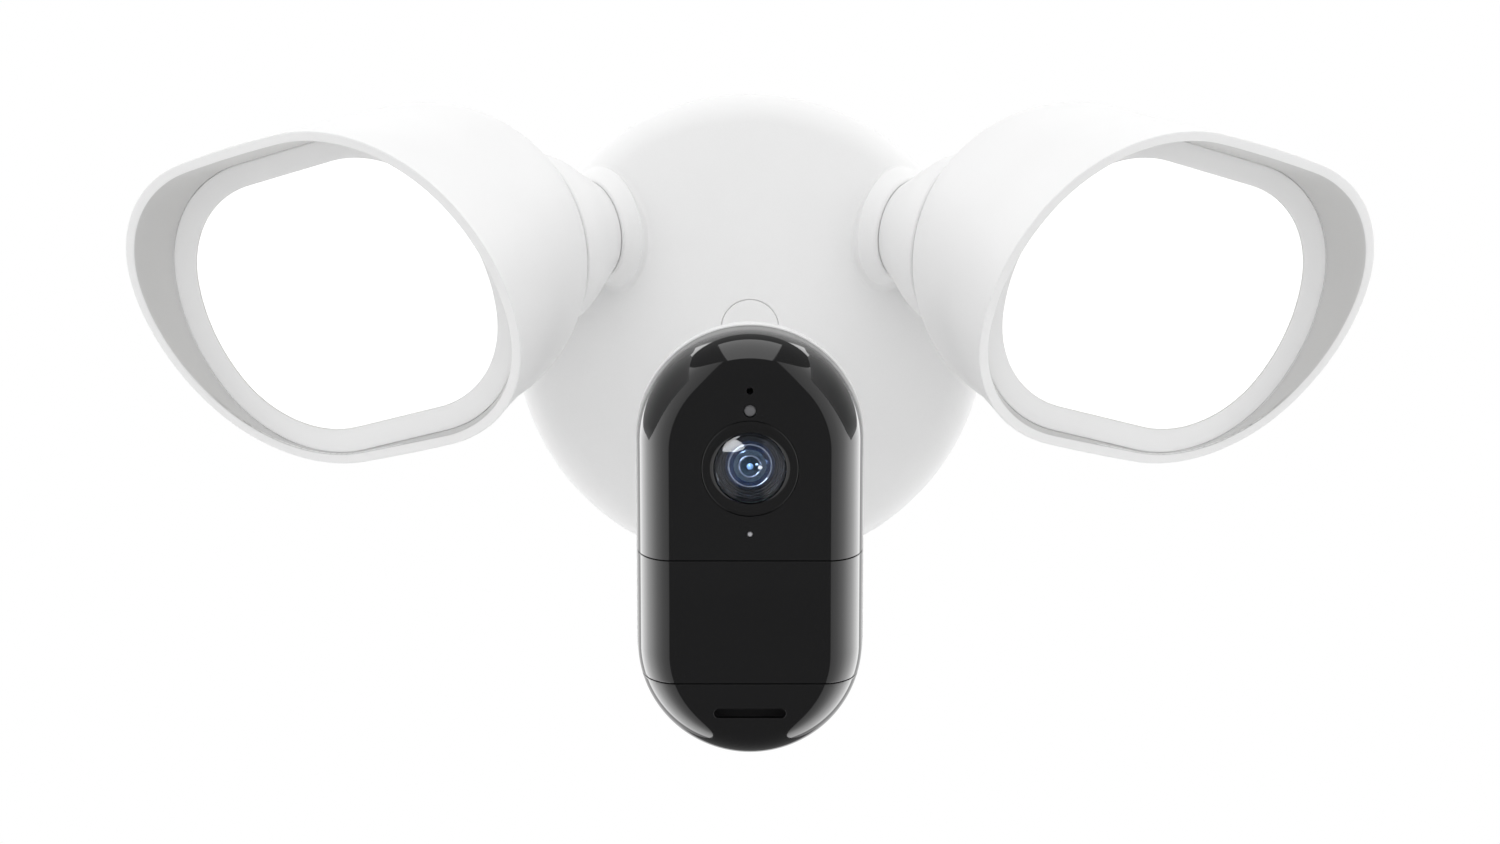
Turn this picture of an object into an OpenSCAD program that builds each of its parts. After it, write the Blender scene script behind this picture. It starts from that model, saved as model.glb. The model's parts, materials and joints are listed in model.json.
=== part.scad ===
// Twin-lamp floodlight with a security camera, fixed to a wall box.
// Frame: +Z up, the wall is the plane y = 0 and the front looks along -Y.
// The origin is the centre of the back.
// The left lamp is modelled where it stands; the right lamp is its mirror image.

/* [Base] */
// Outer radius of the round base
base_r = 66; // [65:0.5:72]
// Distance from the wall to the front of the base
base_depth = 29; // [27:0.5:32]
// Radius of the rounded shoulder of the base
shoulder_r = 9; // [6:0.5:12]
// Wall thickness of the moulded covers
wall_t = 2.5; // [2:0.1:3]
// Radius of the round screw cap in the middle of the base
cap_r = 8; // [7:0.1:9]

/* [Wall fixing] */
// Distance between the two junction box screws
box_screw_pitch = 88.9; // [84:0.1:90]
// Length of each slot in the mounting bracket
bracket_slot_l = 12; // [10:0.5:14]
// Radius of the clearance for a junction box screw
bracket_slot_r = 2.3; // [2:0.1:2.6]

/* [Lamp heads] */
// Place of the left head's ball, across
ball_x = -86; // [-90:0.5:-84]
// Place of the left head's ball, front to back
ball_y = -71.5; // [-76:0.5:-70]
// Place of the left head's ball, up
ball_z = 16; // [14:0.5:18]
// Radius of the ball-shaped back of a head
ball_r = 42.8; // [42:0.1:43.5]
// Outward turn of a head
head_yaw = 27; // [22:1:30]
// Downward tilt of a head
head_pitch = 24.5; // [20:0.5:28]
// Roll of a head, its inner end up
head_roll = -12; // [-16:1:-8]
// Half width of the lit lens
lens_r = 44.3; // [43:0.1:45]
// Half height of the lit lens
lens_h = 34.5; // [33:0.1:35.5]
// Corner radius of the lit lens
lens_corner_r = 29.8; // [27:0.1:31]
// Distance from the ball's centre to the lens plane
lens_ahead = 39; // [38:0.5:40]
// Height of the lens centre above the ball's centre
lens_rise = 6.5; // [5:0.5:7]
// Width of the bezel around the lens
bezel_w = 6.4; // [6:0.1:7]
// Thickness of the visor's rim
rim_t = 2.8; // [2.4:0.1:3.2]
// Length of the visor at the lens centre's height
visor_l = 9.65; // [9:0.05:10.5]
// Growth of the visor's length with height
visor_slope = 0.198; // [0.17:0.001:0.21]
// Growth of the visor's length towards the base
visor_lean = 0.048; // [0:0.001:0.06]
// Outward flare of the visor
visor_flare = 0.31; // [0.25:0.01:0.33]

/* [Lamp necks] */
// Place of the left collar's face, across
collar_x = -43; // [-45:0.5:-42]
// Place of the left collar's face, front to back
collar_y = -40; // [-42:0.5:-40]
// Place of the left collar's face, up
collar_z = 27; // [26:0.5:28]
// Radius of a collar at its root
collar_r = 17.5; // [17:0.1:18]
// Radius of a collar at its face
collar_face_r = 14; // [13.9:0.1:14.5]
// Radius of a neck where it meets its collar
neck_small_r = 13.4; // [13:0.1:13.8]
// Radius of a neck's cup where it meets the ball
neck_cup_r = 25; // [24:0.1:25.5]
// Radius of a neck's spigot in its collar
spigot_r = 6.5; // [6:0.1:6.8]
// Running clearance of a turning spigot or pin
fit_gap = 0.06; // [0.04:0.01:0.08]
// Largest tilt of a head each way
tilt_max = 13; // [8:1:13]
// Radius of a lamp's tilt pin
lamp_pin_r = 2.5; // [2.3:0.1:2.7]

/* [Camera] */
// Half width of the camera's black face
face_r = 29.4; // [28:0.1:30]
// Half height of the camera's black face
face_half_h = 56.4; // [54:0.1:58]
// Depth of the black face's rounded front
face_round = 14; // [12:0.5:15]
// Width of the black face's rounded front
face_round_w = 9.5; // [8:0.5:11]
// Depth of the black face's straight side
face_side = 5; // [4:0.5:7]
// Amount by which the white housing is larger than the face
housing_over = 0.4; // [0.3:0.1:1]
// Depth of the white camera housing
housing_depth = 24; // [22:0.5:26]
// Width of the housing's rounded back
housing_round_w = 18; // [12:1:18]
// Distance from the wall to the camera's middle plane
camera_ahead = 87; // [86:0.5:90]
// Height of the camera's middle
camera_z = -57.2; // [-60:0.1:-55]
// Downward pitch of the camera
camera_pitch = 12; // [8:0.5:14]
// Radius of the camera's tilt and pan pins
camera_pin_r = 2; // [1.8:0.1:2.4]
// Gap between the parts of the black face
seam_gap = 0.3; // [0.2:0.05:0.4]

/* [Hidden] */

// A cut goes this much past the face it opens
cut = 1;
// Roundness of drawn circles
$fn = 48;
// Roundness of the children of a hull
hull_fn = 32;

inner_r = base_r - wall_t;
ball = [ball_x, ball_y, ball_z];
collar = [collar_x, collar_y, collar_z];
neck_axis = (ball - collar) / norm(ball - collar);
neck_len = norm(ball - collar);
seat_r = ball_r + 0.35;
cup_s = neck_len - sqrt(seat_r * seat_r - neck_cup_r * neck_cup_r);
collar_wall = 3;
collar_l = 4.5;
neck_wire_r = 3;
arm_r = 5;
knuckle_r = 7.5;
knuckle_half = 7.5;
washer_t = 1.2;
nut_t = 3;
nut_r = 9;

bezel_r = lens_r + bezel_w;
bezel_h = lens_h + bezel_w;
bezel_corner_r = lens_corner_r + bezel_w;
bezel_t = 4;
lens_t = 2.4;
led_board_t = 1.6;
led_board_r = 33.5;
board_rise = 2;
sink_t = 3;
sink_y = -24;
post_r = 30.5;
post_angles = [90, 210, 330];

face_mid = face_half_h - face_r;
housing_r = face_r + housing_over;
camera_centre = [0, -camera_ahead, camera_z];
seam_upper_z = -1.7;
seam_lower_z = -34.6;
lens_z = 22.6;
lens_ring_r = 12.5;
lens_dome_r = 9.5;
window_z = 37.7;
microphone_z = 42.9;
status_z = 5.3;
slot_z = -42.6;
face_wall = 2.4;
lug_y = 36.5;
lug_z = 8;
lug_half = 4.8;
housing_back_y = face_side + housing_depth;
board_back_y = 13.7;
button_z = -30;
pan_y = -41;
pan_z = camera_z + lug_y * sin(camera_pitch) + lug_z * cos(camera_pitch);
tilt_y = -camera_ahead + lug_y * cos(camera_pitch) - lug_z * sin(camera_pitch);

// ---- placing ----

// Puts +Z on the left neck's axis, with z = 0 on the collar's face
module on_neck() {
    translate(collar) rotate([0, acos(neck_axis[2]), atan2(neck_axis[1], neck_axis[0])]) children();
}

// Puts the head's frame at the left ball: x across the lens, z up the lens, -y out of it
module on_head() {
    translate(ball) rotate([0, 0, -head_yaw]) rotate([head_pitch, 0, 0])
        rotate([0, head_roll, 0]) children();
}

// Takes the part's frame into the left head's frame
module into_head() {
    rotate([0, -head_roll, 0]) rotate([-head_pitch, 0, 0])
        rotate([0, 0, head_yaw]) translate(-ball) children();
}

module on_camera() {
    translate(camera_centre) rotate([camera_pitch, 0, 0]) children();
}

module mirrored() {
    mirror([1, 0, 0]) children();
}

// A cylinder along -Y, from y = -y0 to y = -(y0 + l)
module front_cylinder(r, l, y0 = 0) {
    translate([0, -y0, 0]) rotate([90, 0, 0]) cylinder(h = l, r = r);
}

// A flat outline drawn in x and z, made solid from y = -y0 to y = -(y0 + l)
module front_extrude(l, y0 = 0) {
    translate([0, -y0, 0]) rotate([90, 0, 0]) linear_extrude(l) children();
}

// ---- outlines ----

// A round shape of radius r, flattened to half height h, with blending corners of radius c
function lens_outline(r, h, c) =
    let (x = sqrt(pow(r - c, 2) - pow(h - c, 2)), turn = atan2(h - c, x), n = 5)
    let (side = [for (i = [-n : n]) r * [cos(turn * i / n), sin(turn * i / n)]],
        corner = [for (i = [1 : n])
            let (a = turn + (90 - turn) * i / n) [x + c * cos(a), h - c + c * sin(a)]])
    concat(side, corner, [for (i = [n - 1 : -1 : 0]) [-corner[i][0], corner[i][1]]], -side,
        [for (p = corner) -p], [for (i = [n - 1 : -1 : 0]) [corner[i][0], -corner[i][1]]]);

module lens_shape(grow) {
    translate([0, lens_rise]) polygon(lens_outline(lens_r + grow, lens_h + grow, lens_corner_r + grow));
}

// The visor's length at a point [x, z] of the bezel's outline
function visor_at(p) = visor_l + visor_slope * p[1] + visor_lean * p[0];

// Small balls along the visor's edge, grown outward from the bezel's outline and moved forward by ahead
module visor_edge(grow, ahead = 0, ball = 0.4) {
    base = lens_outline(bezel_r, bezel_h, bezel_corner_r);
    for (p = base) {
        l = visor_at(p) + ahead;
        out = p / norm(p);
        flare = grow + visor_flare * l;
        translate([p[0] + out[0] * flare, -lens_ahead - l, lens_rise + p[1] + out[1] * flare])
            sphere(r = ball, $fn = 8);
    }
}

// ---- base ----

module dome(r, depth, round_r) {
    rotate([90, 0, 0]) rotate_extrude($fn = 120) {
        square([r - round_r, depth]);
        square([r, depth - round_r]);
        translate([r - round_r, depth - round_r]) intersection() {
            circle(r = round_r);
            square(round_r);
        }
    }
}

// The stub that carries a neck: a cone from s_low to s_high along the neck's axis, run back by depth
module collar_stub(r_low, r_high, s_low, s_high, depth) {
    hull() {
        on_neck() translate([0, 0, s_low])
            cylinder(h = s_high - s_low, r1 = r_low, r2 = r_high, $fn = hull_fn);
        translate([0, depth, 0]) on_neck() translate([0, 0, s_low])
            cylinder(h = 0.1, r = r_low, $fn = hull_fn);
    }
}

module collar_outside() {
    collar_stub(collar_r, collar_face_r, -collar_l, 0, 20);
}

module collar_inside() {
    collar_stub(collar_r - 2, collar_r - 3, -collar_l, -collar_wall, 25);
}

cover_post_r = 54;
cover_post_angles = [20, 160, 200, 340];
screw_head_y = 22;
bracket_y = 29;
bracket_bolt_z = 11;

// Puts its children at the two bolts that hold the camera's bracket
module at_bracket_bolts() {
    for (z = [-bracket_bolt_z, bracket_bolt_z]) translate([0, 0, pan_z + z]) children();
}

// A round bar along X, centred
module cross_bar(l, r) {
    rotate([0, 90, 0]) cylinder(h = l, r = r, center = true);
}

module spigot_hole() {
    on_neck() translate([0, 0, -collar_wall - cut])
        cylinder(h = collar_wall + 2 * cut, r = spigot_r + fit_gap);
}

module at_posts() {
    for (a = cover_post_angles) translate([cover_post_r * cos(a), 0, cover_post_r * sin(a)]) children();
}

module base_cover() {
    color("white") difference() {
        union() {
            difference() {
                union() {
                    translate([0, -0.3, 0]) dome(base_r, base_depth - 0.3, shoulder_r);
                    collar_outside();
                    mirrored() collar_outside();
                }
                translate([0, cut, 0]) dome(inner_r, base_depth - wall_t + cut, shoulder_r - wall_t);
                collar_inside();
                mirrored() collar_inside();
            }
            front_cylinder(cap_r + 2.2, base_depth - 18, 17);
            at_posts() front_cylinder(3.6, base_depth - 8, 6);
        }
        front_cylinder(cap_r + 0.15, base_depth - screw_head_y + 3, screw_head_y);
        front_cylinder(2.8, base_depth, 10);
        at_posts() front_cylinder(1.5, 10, 5);
        spigot_hole();
        mirrored() spigot_hole();
        at_bracket_bolts() front_cylinder(2.2, 6, base_depth - 4);
    }
}

module base_chassis() {
    color("silver") difference() {
        front_cylinder(inner_r - 0.3, 2, 3);
        front_cylinder(3.2, 6, 1);
        at_posts() front_cylinder(1.9, 6, 1);
        translate([0, 0, -26]) front_cylinder(7, 6, 1);
        for (x = [-0.5, 0.5]) translate([x * box_screw_pitch, 0, 0]) front_cylinder(7, 6, 1);
    }
}

module wall_gasket() {
    color("dimgray") difference() {
        front_cylinder(inner_r - 0.5, 2.9);
        front_cylinder(inner_r - 6, 5, -cut);
    }
}

module mounting_bracket() {
    color("silver") difference() {
        front_extrude(2) union() {
            square([box_screw_pitch + 18, 16], center = true);
            square([30, 26], center = true);
        }
        front_cylinder(2.5, 4, -cut);
        for (x = [-0.5, 0.5]) translate([x * box_screw_pitch, cut, 0]) front_extrude(4) {
            square([bracket_slot_l - 2 * bracket_slot_r, 2 * bracket_slot_r], center = true);
            for (end = [-1, 1]) translate([end * (bracket_slot_l / 2 - bracket_slot_r), 0])
                circle(r = bracket_slot_r);
        }
    }
}

module centre_screw() {
    color("silver") {
        front_cylinder(2.4, screw_head_y, 0.5);
        difference() {
            front_cylinder(4.6, 3, screw_head_y + 0.1);
            translate([0, -screw_head_y - 2, 0]) front_extrude(3) {
                square([6, 1.2], center = true);
                square([1.2, 6], center = true);
            }
        }
    }
}

module screw_cap() {
    color("whitesmoke") difference() {
        front_cylinder(cap_r, 3, base_depth - 2.8);
        front_cylinder(cap_r - 1.6, 1.2, base_depth - 2.8);
    }
}

module cap_seal() {
    color("black") translate([0, -(base_depth - 3.4), 0]) rotate([90, 0, 0]) rotate_extrude()
        translate([cap_r - 0.7, 0]) circle(r = 0.5, $fn = 16);
}

module chassis_screws() {
    color("gray") at_posts() {
        front_cylinder(1.45, 10, 2.5);
        front_cylinder(2.9, 0.9, 2.05);
    }
}

board_y = 12;
driver_z = 33;

module driver_board() {
    color("darkgreen") difference() {
        translate([0, 0, driver_z]) front_extrude(1.6, board_y) square([66, 34], center = true);
        for (x = [-28, 28]) translate([x, 0, driver_z]) front_cylinder(1.6, 5, board_y - cut);
    }
}

module driver_components() {
    color("dimgray") {
        translate([-18, -board_y - 6.7, driver_z + 6]) cube([14, 10, 12], center = true);
        translate([4, 0, driver_z + 6]) front_cylinder(5, 10, board_y + 1.7);
        translate([16, 0, driver_z + 6]) front_cylinder(4, 9, board_y + 1.7);
        for (i = [0 : 5]) translate([-20 + 8 * i, -board_y - 2.9, driver_z - 9])
            cube([4, 2.4, 5], center = true);
    }
}

module terminal_block() {
    color("ivory") difference() {
        translate([0, -10, -42]) cube([30, 9, 12], center = true);
        for (x = [-9, 0, 9]) translate([x, 0, -42]) front_cylinder(2, 12, 4);
    }
}

module wire_grommet() {
    color("black") translate([0, 0, -26]) difference() {
        union() {
            front_cylinder(6.8, 5, 1.5);
            front_cylinder(9, 1.6, 5.1);
            front_cylinder(9, 1.3, 1.6);
        }
        front_cylinder(4, 10, 0);
    }
}

// ---- lamp neck ----

module neck() {
    color("white") difference() {
        union() {
            on_neck() difference() {
                union() {
                    translate([0, 0, 0.3])
                        cylinder(h = cup_s - 0.3, r1 = neck_small_r, r2 = neck_cup_r, $fn = 96);
                    translate([0, 0, -collar_wall - washer_t - nut_t - 0.3])
                        cylinder(h = collar_wall + washer_t + nut_t + 1.3, r = spigot_r);
                }
                translate([0, 0, neck_len]) sphere(r = seat_r, $fn = 96);
            }
            on_neck() translate([0, 0, 6]) cylinder(h = neck_len - 7, r = arm_r);
            on_head() cross_bar(2 * knuckle_half, knuckle_r);
        }
        on_neck() translate([0, 0, -12]) cylinder(h = neck_len - 6, r = neck_wire_r);
        on_head() cross_bar(2 * knuckle_half + 2, lamp_pin_r + fit_gap);
    }
}

module neck_nut() {
    color("silver") on_neck() translate([0, 0, -collar_wall - washer_t - nut_t - 0.1]) difference() {
        cylinder(h = nut_t, r = nut_r);
        translate([0, 0, -cut]) cylinder(h = nut_t + 2 * cut, r = spigot_r + 0.02);
        for (a = [0 : 60 : 300]) rotate(a) translate([nut_r, 0, nut_t / 2])
            cube([2, 2, nut_t + cut], center = true);
    }
}

module friction_washer() {
    color("black") on_neck() translate([0, 0, -collar_wall - washer_t - 0.05]) difference() {
        cylinder(h = washer_t, r = nut_r + 1);
        translate([0, 0, -cut]) cylinder(h = washer_t + 2 * cut, r = spigot_r + 0.02);
    }
}

// ---- lamp head ----

module head_outer() {
    hull() {
        sphere(r = ball_r, $fn = 48);
        visor_edge(rim_t - 0.4);
    }
}

// The room inside the head, behind the bezel
module head_room() {
    hull() {
        sphere(r = ball_r - wall_t, $fn = 48);
        front_extrude(0.1, lens_ahead - bezel_t) lens_shape(bezel_w - 1.6);
    }
}

// The flared hollow of the visor, with the bezel's seat at its root
module visor_room() {
    hull() {
        front_extrude(0.1, lens_ahead - bezel_t - 0.2) lens_shape(bezel_w + 0.1);
        front_extrude(0.1, lens_ahead) lens_shape(bezel_w + 0.1);
        visor_edge(-0.4, 1.5);
    }
}

// The path of the neck's arm through the ball as the head tilts, in the head's frame
module arm_slot() {
    hull() {
        for (a = [-tilt_max, 0, tilt_max]) rotate([a, 0, 0]) into_head() on_neck()
            translate([0, 0, 0]) cylinder(h = neck_len - 25, r = arm_r + 0.8, $fn = 16);
    }
}

module at_head_posts() {
    for (a = post_angles) translate([post_r * cos(a), 0, board_rise + post_r * sin(a)]) children();
}

module lamp_housing() {
    color("white") on_head() difference() {
        union() {
            difference() {
                head_outer();
                head_room();
                visor_room();
            }
            intersection() {
                at_head_posts() front_cylinder(3.2, -sink_y + 32, -32);
                sphere(r = ball_r - 1, $fn = 48);
            }
        }
        at_head_posts() front_cylinder(1.4, 10, -sink_y - 9);
        arm_slot();
    }
}

module bezel() {
    color("gainsboro") on_head() difference() {
        front_extrude(bezel_t - 0.2, lens_ahead - bezel_t) lens_shape(bezel_w - 0.1);
        front_extrude(bezel_t + 2, lens_ahead - bezel_t - cut) lens_shape(0.1);
        front_extrude(lens_t + 0.2 + cut, lens_ahead - bezel_t - cut) lens_shape(2.2);
    }
}

module lens() {
    color("white") on_head() {
        front_extrude(lens_t, lens_ahead - bezel_t) lens_shape(2);
        front_extrude(1, lens_ahead - bezel_t + lens_t) lens_shape(-0.2);
    }
}

module lens_gasket() {
    color("black") on_head() difference() {
        front_extrude(1, lens_ahead - bezel_t - 1.05) lens_shape(bezel_w - 2);
        front_extrude(3, lens_ahead - bezel_t - 2) lens_shape(-1);
    }
}

module led_board() {
    color("white") on_head() difference() {
        translate([0, 0, board_rise]) front_cylinder(led_board_r, led_board_t, -sink_y + sink_t + 0.05);
        at_head_posts() front_cylinder(1.7, 5, -sink_y + 1);
    }
}

module leds() {
    color("khaki") on_head() {
        for (x = [-24 : 8 : 24]) for (z = [-24 : 8 : 24]) {
            if (norm([x, z]) < 27)
                translate([x, sink_y - sink_t - led_board_t - 0.5, board_rise + z])
                    cube([3.5, 0.8, 2.8], center = true);
        }
    }
}

module heat_sink() {
    color("lightgray") on_head() difference() {
        union() {
            translate([0, 0, board_rise]) front_cylinder(led_board_r, sink_t, -sink_y);
            for (x = [16 : 3 : 25]) {
                fin_half = sqrt(pow(led_board_r - 3, 2) - pow(x, 2)) - 6;
                for (side = [-1, 1]) translate([side * x, sink_y + 2.9, board_rise])
                    cube([1.2, 6, 2 * fin_half], center = true);
            }
            for (side = [-1, 1]) translate([side * (knuckle_half + 2.8), 0, 0]) {
                cross_bar(3.6, 6.5);
                translate([0, sink_y / 2, 0]) cube([3.6, -sink_y, 13], center = true);
            }
        }
        cross_bar(40, lamp_pin_r + 0.02);
        at_head_posts() front_cylinder(1.7, 8, -sink_y - 2);
    }
}

module tilt_pin() {
    color("silver") on_head() rotate([0, 90, 0]) {
        cylinder(h = 2 * knuckle_half + 10, r = lamp_pin_r, center = true);
        translate([0, 0, knuckle_half + 4.8]) cylinder(h = 1.4, r = lamp_pin_r + 1.5);
        translate([0, 0, -knuckle_half - 6.2]) cylinder(h = 1.4, r = lamp_pin_r + 1.5);
    }
}

module board_screws() {
    color("gray") on_head() at_head_posts() {
        front_cylinder(1.35, 12, -sink_y - 7);
        front_cylinder(2.8, 1.5, -sink_y + sink_t + led_board_t + 0.1);
    }
}

// ---- camera mount ----

module camera_bracket() {
    color("white") difference() {
        union() {
            translate([0, 0, pan_z]) front_cylinder(16, 4, bracket_y + 0.05);
            for (side = [-1, 1]) translate([0, 0, pan_z + side * 9.5]) {
                translate([0, pan_y, 0]) cylinder(h = 5, r = 6, center = true);
                translate([0, (pan_y - bracket_y - 2) / 2, 0])
                    cube([12, -pan_y - bracket_y - 2, 5], center = true);
            }
        }
        translate([0, pan_y, pan_z]) cylinder(h = 40, r = camera_pin_r + 0.02, center = true);
        at_bracket_bolts() front_cylinder(1.6, 3, bracket_y - 0.5);
    }
}

module bracket_bolts() {
    color("silver") at_bracket_bolts() {
        front_cylinder(1.5, 5.6, bracket_y - wall_t - 0.8);
        front_cylinder(3, 1.4, bracket_y - wall_t - 1.5);
    }
}

module pan_pin() {
    color("silver") translate([0, pan_y, pan_z]) {
        cylinder(h = 25, r = camera_pin_r, center = true);
        translate([0, 0, 12.2]) cylinder(h = 1.2, r = camera_pin_r + 1.4);
        translate([0, 0, -13.4]) cylinder(h = 1.2, r = camera_pin_r + 1.4);
    }
}

module camera_arm() {
    color("white") difference() {
        union() {
            translate([0, pan_y, pan_z]) cylinder(h = 13.4, r = 5.5, center = true);
            translate([0, pan_y - 4, pan_z]) cube([17.4, 3, 12], center = true);
            for (side = [-1, 1]) translate([side * (lug_half + 2.1), 0, pan_z]) {
                translate([0, tilt_y, 0]) cross_bar(3.6, 6);
                translate([0, (tilt_y + pan_y - 3) / 2, 0])
                    cube([3.6, pan_y - 3 - tilt_y, 12], center = true);
            }
        }
        translate([0, pan_y, pan_z]) cylinder(h = 20, r = camera_pin_r + fit_gap, center = true);
        translate([0, tilt_y, pan_z]) cross_bar(30, camera_pin_r + 0.02);
    }
}

module camera_tilt_pin() {
    color("silver") translate([0, tilt_y, pan_z]) rotate([0, 90, 0]) {
        cylinder(h = 18, r = camera_pin_r, center = true);
        translate([0, 0, 8.8]) cylinder(h = 1.2, r = camera_pin_r + 1.4);
        translate([0, 0, -10]) cylinder(h = 1.2, r = camera_pin_r + 1.4);
    }
}

// ---- camera head ----

// Half of the capsule's section from its axis outward: a flat front, a rounded shoulder and a straight side
function face_section(r, front, back, round_w, round_d) =
    concat([[0, back], [0, front]],
        [for (a = [90 : -11.25 : 0]) [r - round_w + round_w * cos(a), front - round_d + round_d * sin(a)]],
        [[r, back]]);

// A capsule standing along Z whose front is rounded; its front faces -Y
module capsule(r, mid, front, back, round_w, round_d) {
    section = face_section(r, front, back, round_w, round_d);
    for (end = [-1, 1]) translate([0, 0, end * mid]) rotate([90, 0, 0])
        rotate_extrude($fn = 96) polygon(section);
    translate([0, 0, -mid]) linear_extrude(2 * mid) {
        polygon([for (p = section) [p[0], -p[1]]]);
        polygon([for (p = section) [-p[0], -p[1]]]);
    }
}

module face_solid(shrink = 0) {
    capsule(face_r - shrink, face_mid, face_round - shrink, -face_side + (shrink > 0 ? -cut : 0),
        face_round_w - shrink * 0.6, face_round - shrink * 0.6);
}

module face_shell() {
    difference() {
        face_solid();
        face_solid(face_wall);
    }
}

module face_band(low, high) {
    on_camera() intersection() {
        children();
        translate([-50, -40, low]) cube([100, 80, high - low]);
    }
}

module upper_face() {
    color([0.03, 0.03, 0.03]) face_band(seam_upper_z + seam_gap / 2, 70) difference() {
        face_shell();
        translate([0, 0, lens_z]) front_cylinder(lens_ring_r + 0.1, 10, face_round - 6);
        translate([0, 0, window_z]) front_cylinder(1.7, 10, face_round - 6);
        translate([0, 0, microphone_z]) front_cylinder(0.9, 10, face_round - 6);
        translate([0, 0, status_z]) front_cylinder(0.8, 10, face_round - 6);
    }
}

module middle_face() {
    color([0.04, 0.04, 0.04])
        face_band(seam_lower_z + seam_gap / 2, seam_upper_z - seam_gap / 2) face_shell();
}

module lower_face() {
    color([0.03, 0.03, 0.03]) face_band(-70, seam_lower_z - seam_gap / 2) difference() {
        face_shell();
        translate([0, 0, slot_z]) front_extrude(10, face_round - 6) {
            square([16.2, 2.6], center = true);
            for (x = [-8.1, 8.1]) translate([x, 0]) circle(r = 1.3);
        }
    }
}

module housing_solid(shrink) {
    front = face_side + 0.2 - (shrink > 0 ? cut : 0);
    mirror([0, 1, 0]) capsule(housing_r - shrink, face_mid, housing_back_y - shrink, front,
        housing_round_w - shrink, housing_depth - 1 - shrink);
}

module at_camera_screws() {
    for (x = [-15, 15]) for (z = [-33, 25]) translate([x, 0, z]) children();
}

module camera_housing() {
    color("white") on_camera() difference() {
        union() {
            difference() {
                housing_solid(0);
                housing_solid(wall_t);
            }
            intersection() {
                housing_solid(0);
                at_camera_screws() front_cylinder(2.8, 30, -board_back_y - 30);
            }
            translate([0, lug_y, lug_z]) cross_bar(2 * lug_half, 5.5);
            translate([0, (lug_y + housing_back_y - 2) / 2, lug_z])
                cube([2 * lug_half, lug_y - housing_back_y + 2, 11], center = true);
        }
        translate([0, lug_y, lug_z]) cross_bar(20, camera_pin_r + fit_gap);
        translate([0, housing_back_y, button_z]) rotate([90, 0, 0]) cylinder(h = 8, r = 4.2, center = true);
        at_camera_screws() front_cylinder(1.35, 7, -board_back_y - 6);
    }
}

module lens_ring() {
    color([0.02, 0.02, 0.02]) on_camera() translate([0, 0, lens_z]) difference() {
        front_cylinder(lens_ring_r, 3, face_round - 2.8);
        front_cylinder(lens_dome_r + 0.05, 6, face_round - 4);
    }
}

module lens_dome() {
    color([0.3, 0.35, 0.4]) on_camera() translate([0, 0, lens_z]) difference() {
        intersection() {
            translate([0, -face_round + 16, 0]) sphere(r = 18, $fn = 96);
            front_cylinder(lens_dome_r, 6, face_round - 2.6);
        }
        translate([0, -face_round + 16, 0]) sphere(r = 16.8, $fn = 96);
    }
}

module lens_barrel() {
    color("black") on_camera() translate([0, 0, lens_z]) difference() {
        union() {
            front_cylinder(7.6, 12, -2);
            front_cylinder(9, 2, -3.9);
        }
        front_cylinder(5.6, 18, -cut);
        front_cylinder(4.2, 8, -4);
    }
}

module lens_elements() {
    color("slateblue") on_camera() translate([0, 0, lens_z]) for (y = [0.5, 4.5]) intersection() {
        front_cylinder(5.5, 3, y);
        translate([0, 4.4 - y, 0]) sphere(r = 7, $fn = 64);
    }
}

module sensor_board() {
    color("darkgreen") on_camera() translate([0, 0, lens_z])
        front_extrude(1.4, -5.5) square([26, 26], center = true);
}

module main_board() {
    color("darkgreen") on_camera() difference() {
        translate([0, 0, -4]) front_extrude(1.6, 0.1 - board_back_y) square([40, 78], center = true);
        at_camera_screws() front_cylinder(1.5, 4, -board_back_y - 1);
    }
}

module motion_sensor() {
    color("lightgray") on_camera() translate([0, 0, -18]) {
        front_cylinder(4.6, 5, 2);
        front_extrude(1.2, 0.7) square([14, 14], center = true);
    }
}

module speaker() {
    color("dimgray") on_camera() translate([0, 0, slot_z - 0.6]) {
        front_extrude(5, 1) square([26, 10], center = true);
        front_extrude(1, 6) square([20, 6], center = true);
    }
}

module light_window() {
    color("silver") on_camera() translate([0, 0, window_z]) front_cylinder(1.62, 2.4, face_round - 2.6);
}

module status_light() {
    color("white") on_camera() translate([0, 0, status_z]) front_cylinder(0.72, 2.4, face_round - 2.6);
}

module setup_button() {
    color("whitesmoke") on_camera() translate([0, 0, button_z]) {
        front_cylinder(3.9, wall_t + 1.6, -housing_back_y - 0.4);
        front_cylinder(5.4, 1, -housing_back_y + wall_t + 0.2);
    }
}

module camera_screws() {
    color("gray") on_camera() at_camera_screws() {
        front_cylinder(1.3, 7.5, -board_back_y - 4.5);
        front_cylinder(2.6, 1.2, 1.75 - board_back_y);
    }
}

// ---- assembly ----

base_cover();
base_chassis();
wall_gasket();
mounting_bracket();
centre_screw();
screw_cap();
cap_seal();
chassis_screws();
driver_board();
driver_components();
terminal_block();
wire_grommet();
neck();  // left_neck
neck_nut();  // left_neck_nut
friction_washer();  // left_friction_washer
lamp_housing();  // left_lamp_housing
bezel();  // left_bezel
lens();  // left_lens
lens_gasket();  // left_lens_gasket
led_board();  // left_led_board
leds();  // left_leds
heat_sink();  // left_heat_sink
tilt_pin();  // left_tilt_pin
board_screws();  // left_board_screws
mirrored() neck();  // right_neck
mirrored() neck_nut();  // right_neck_nut
mirrored() friction_washer();  // right_friction_washer
mirrored() lamp_housing();  // right_lamp_housing
mirrored() bezel();  // right_bezel
mirrored() lens();  // right_lens
mirrored() lens_gasket();  // right_lens_gasket
mirrored() led_board();  // right_led_board
mirrored() leds();  // right_leds
mirrored() heat_sink();  // right_heat_sink
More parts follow.
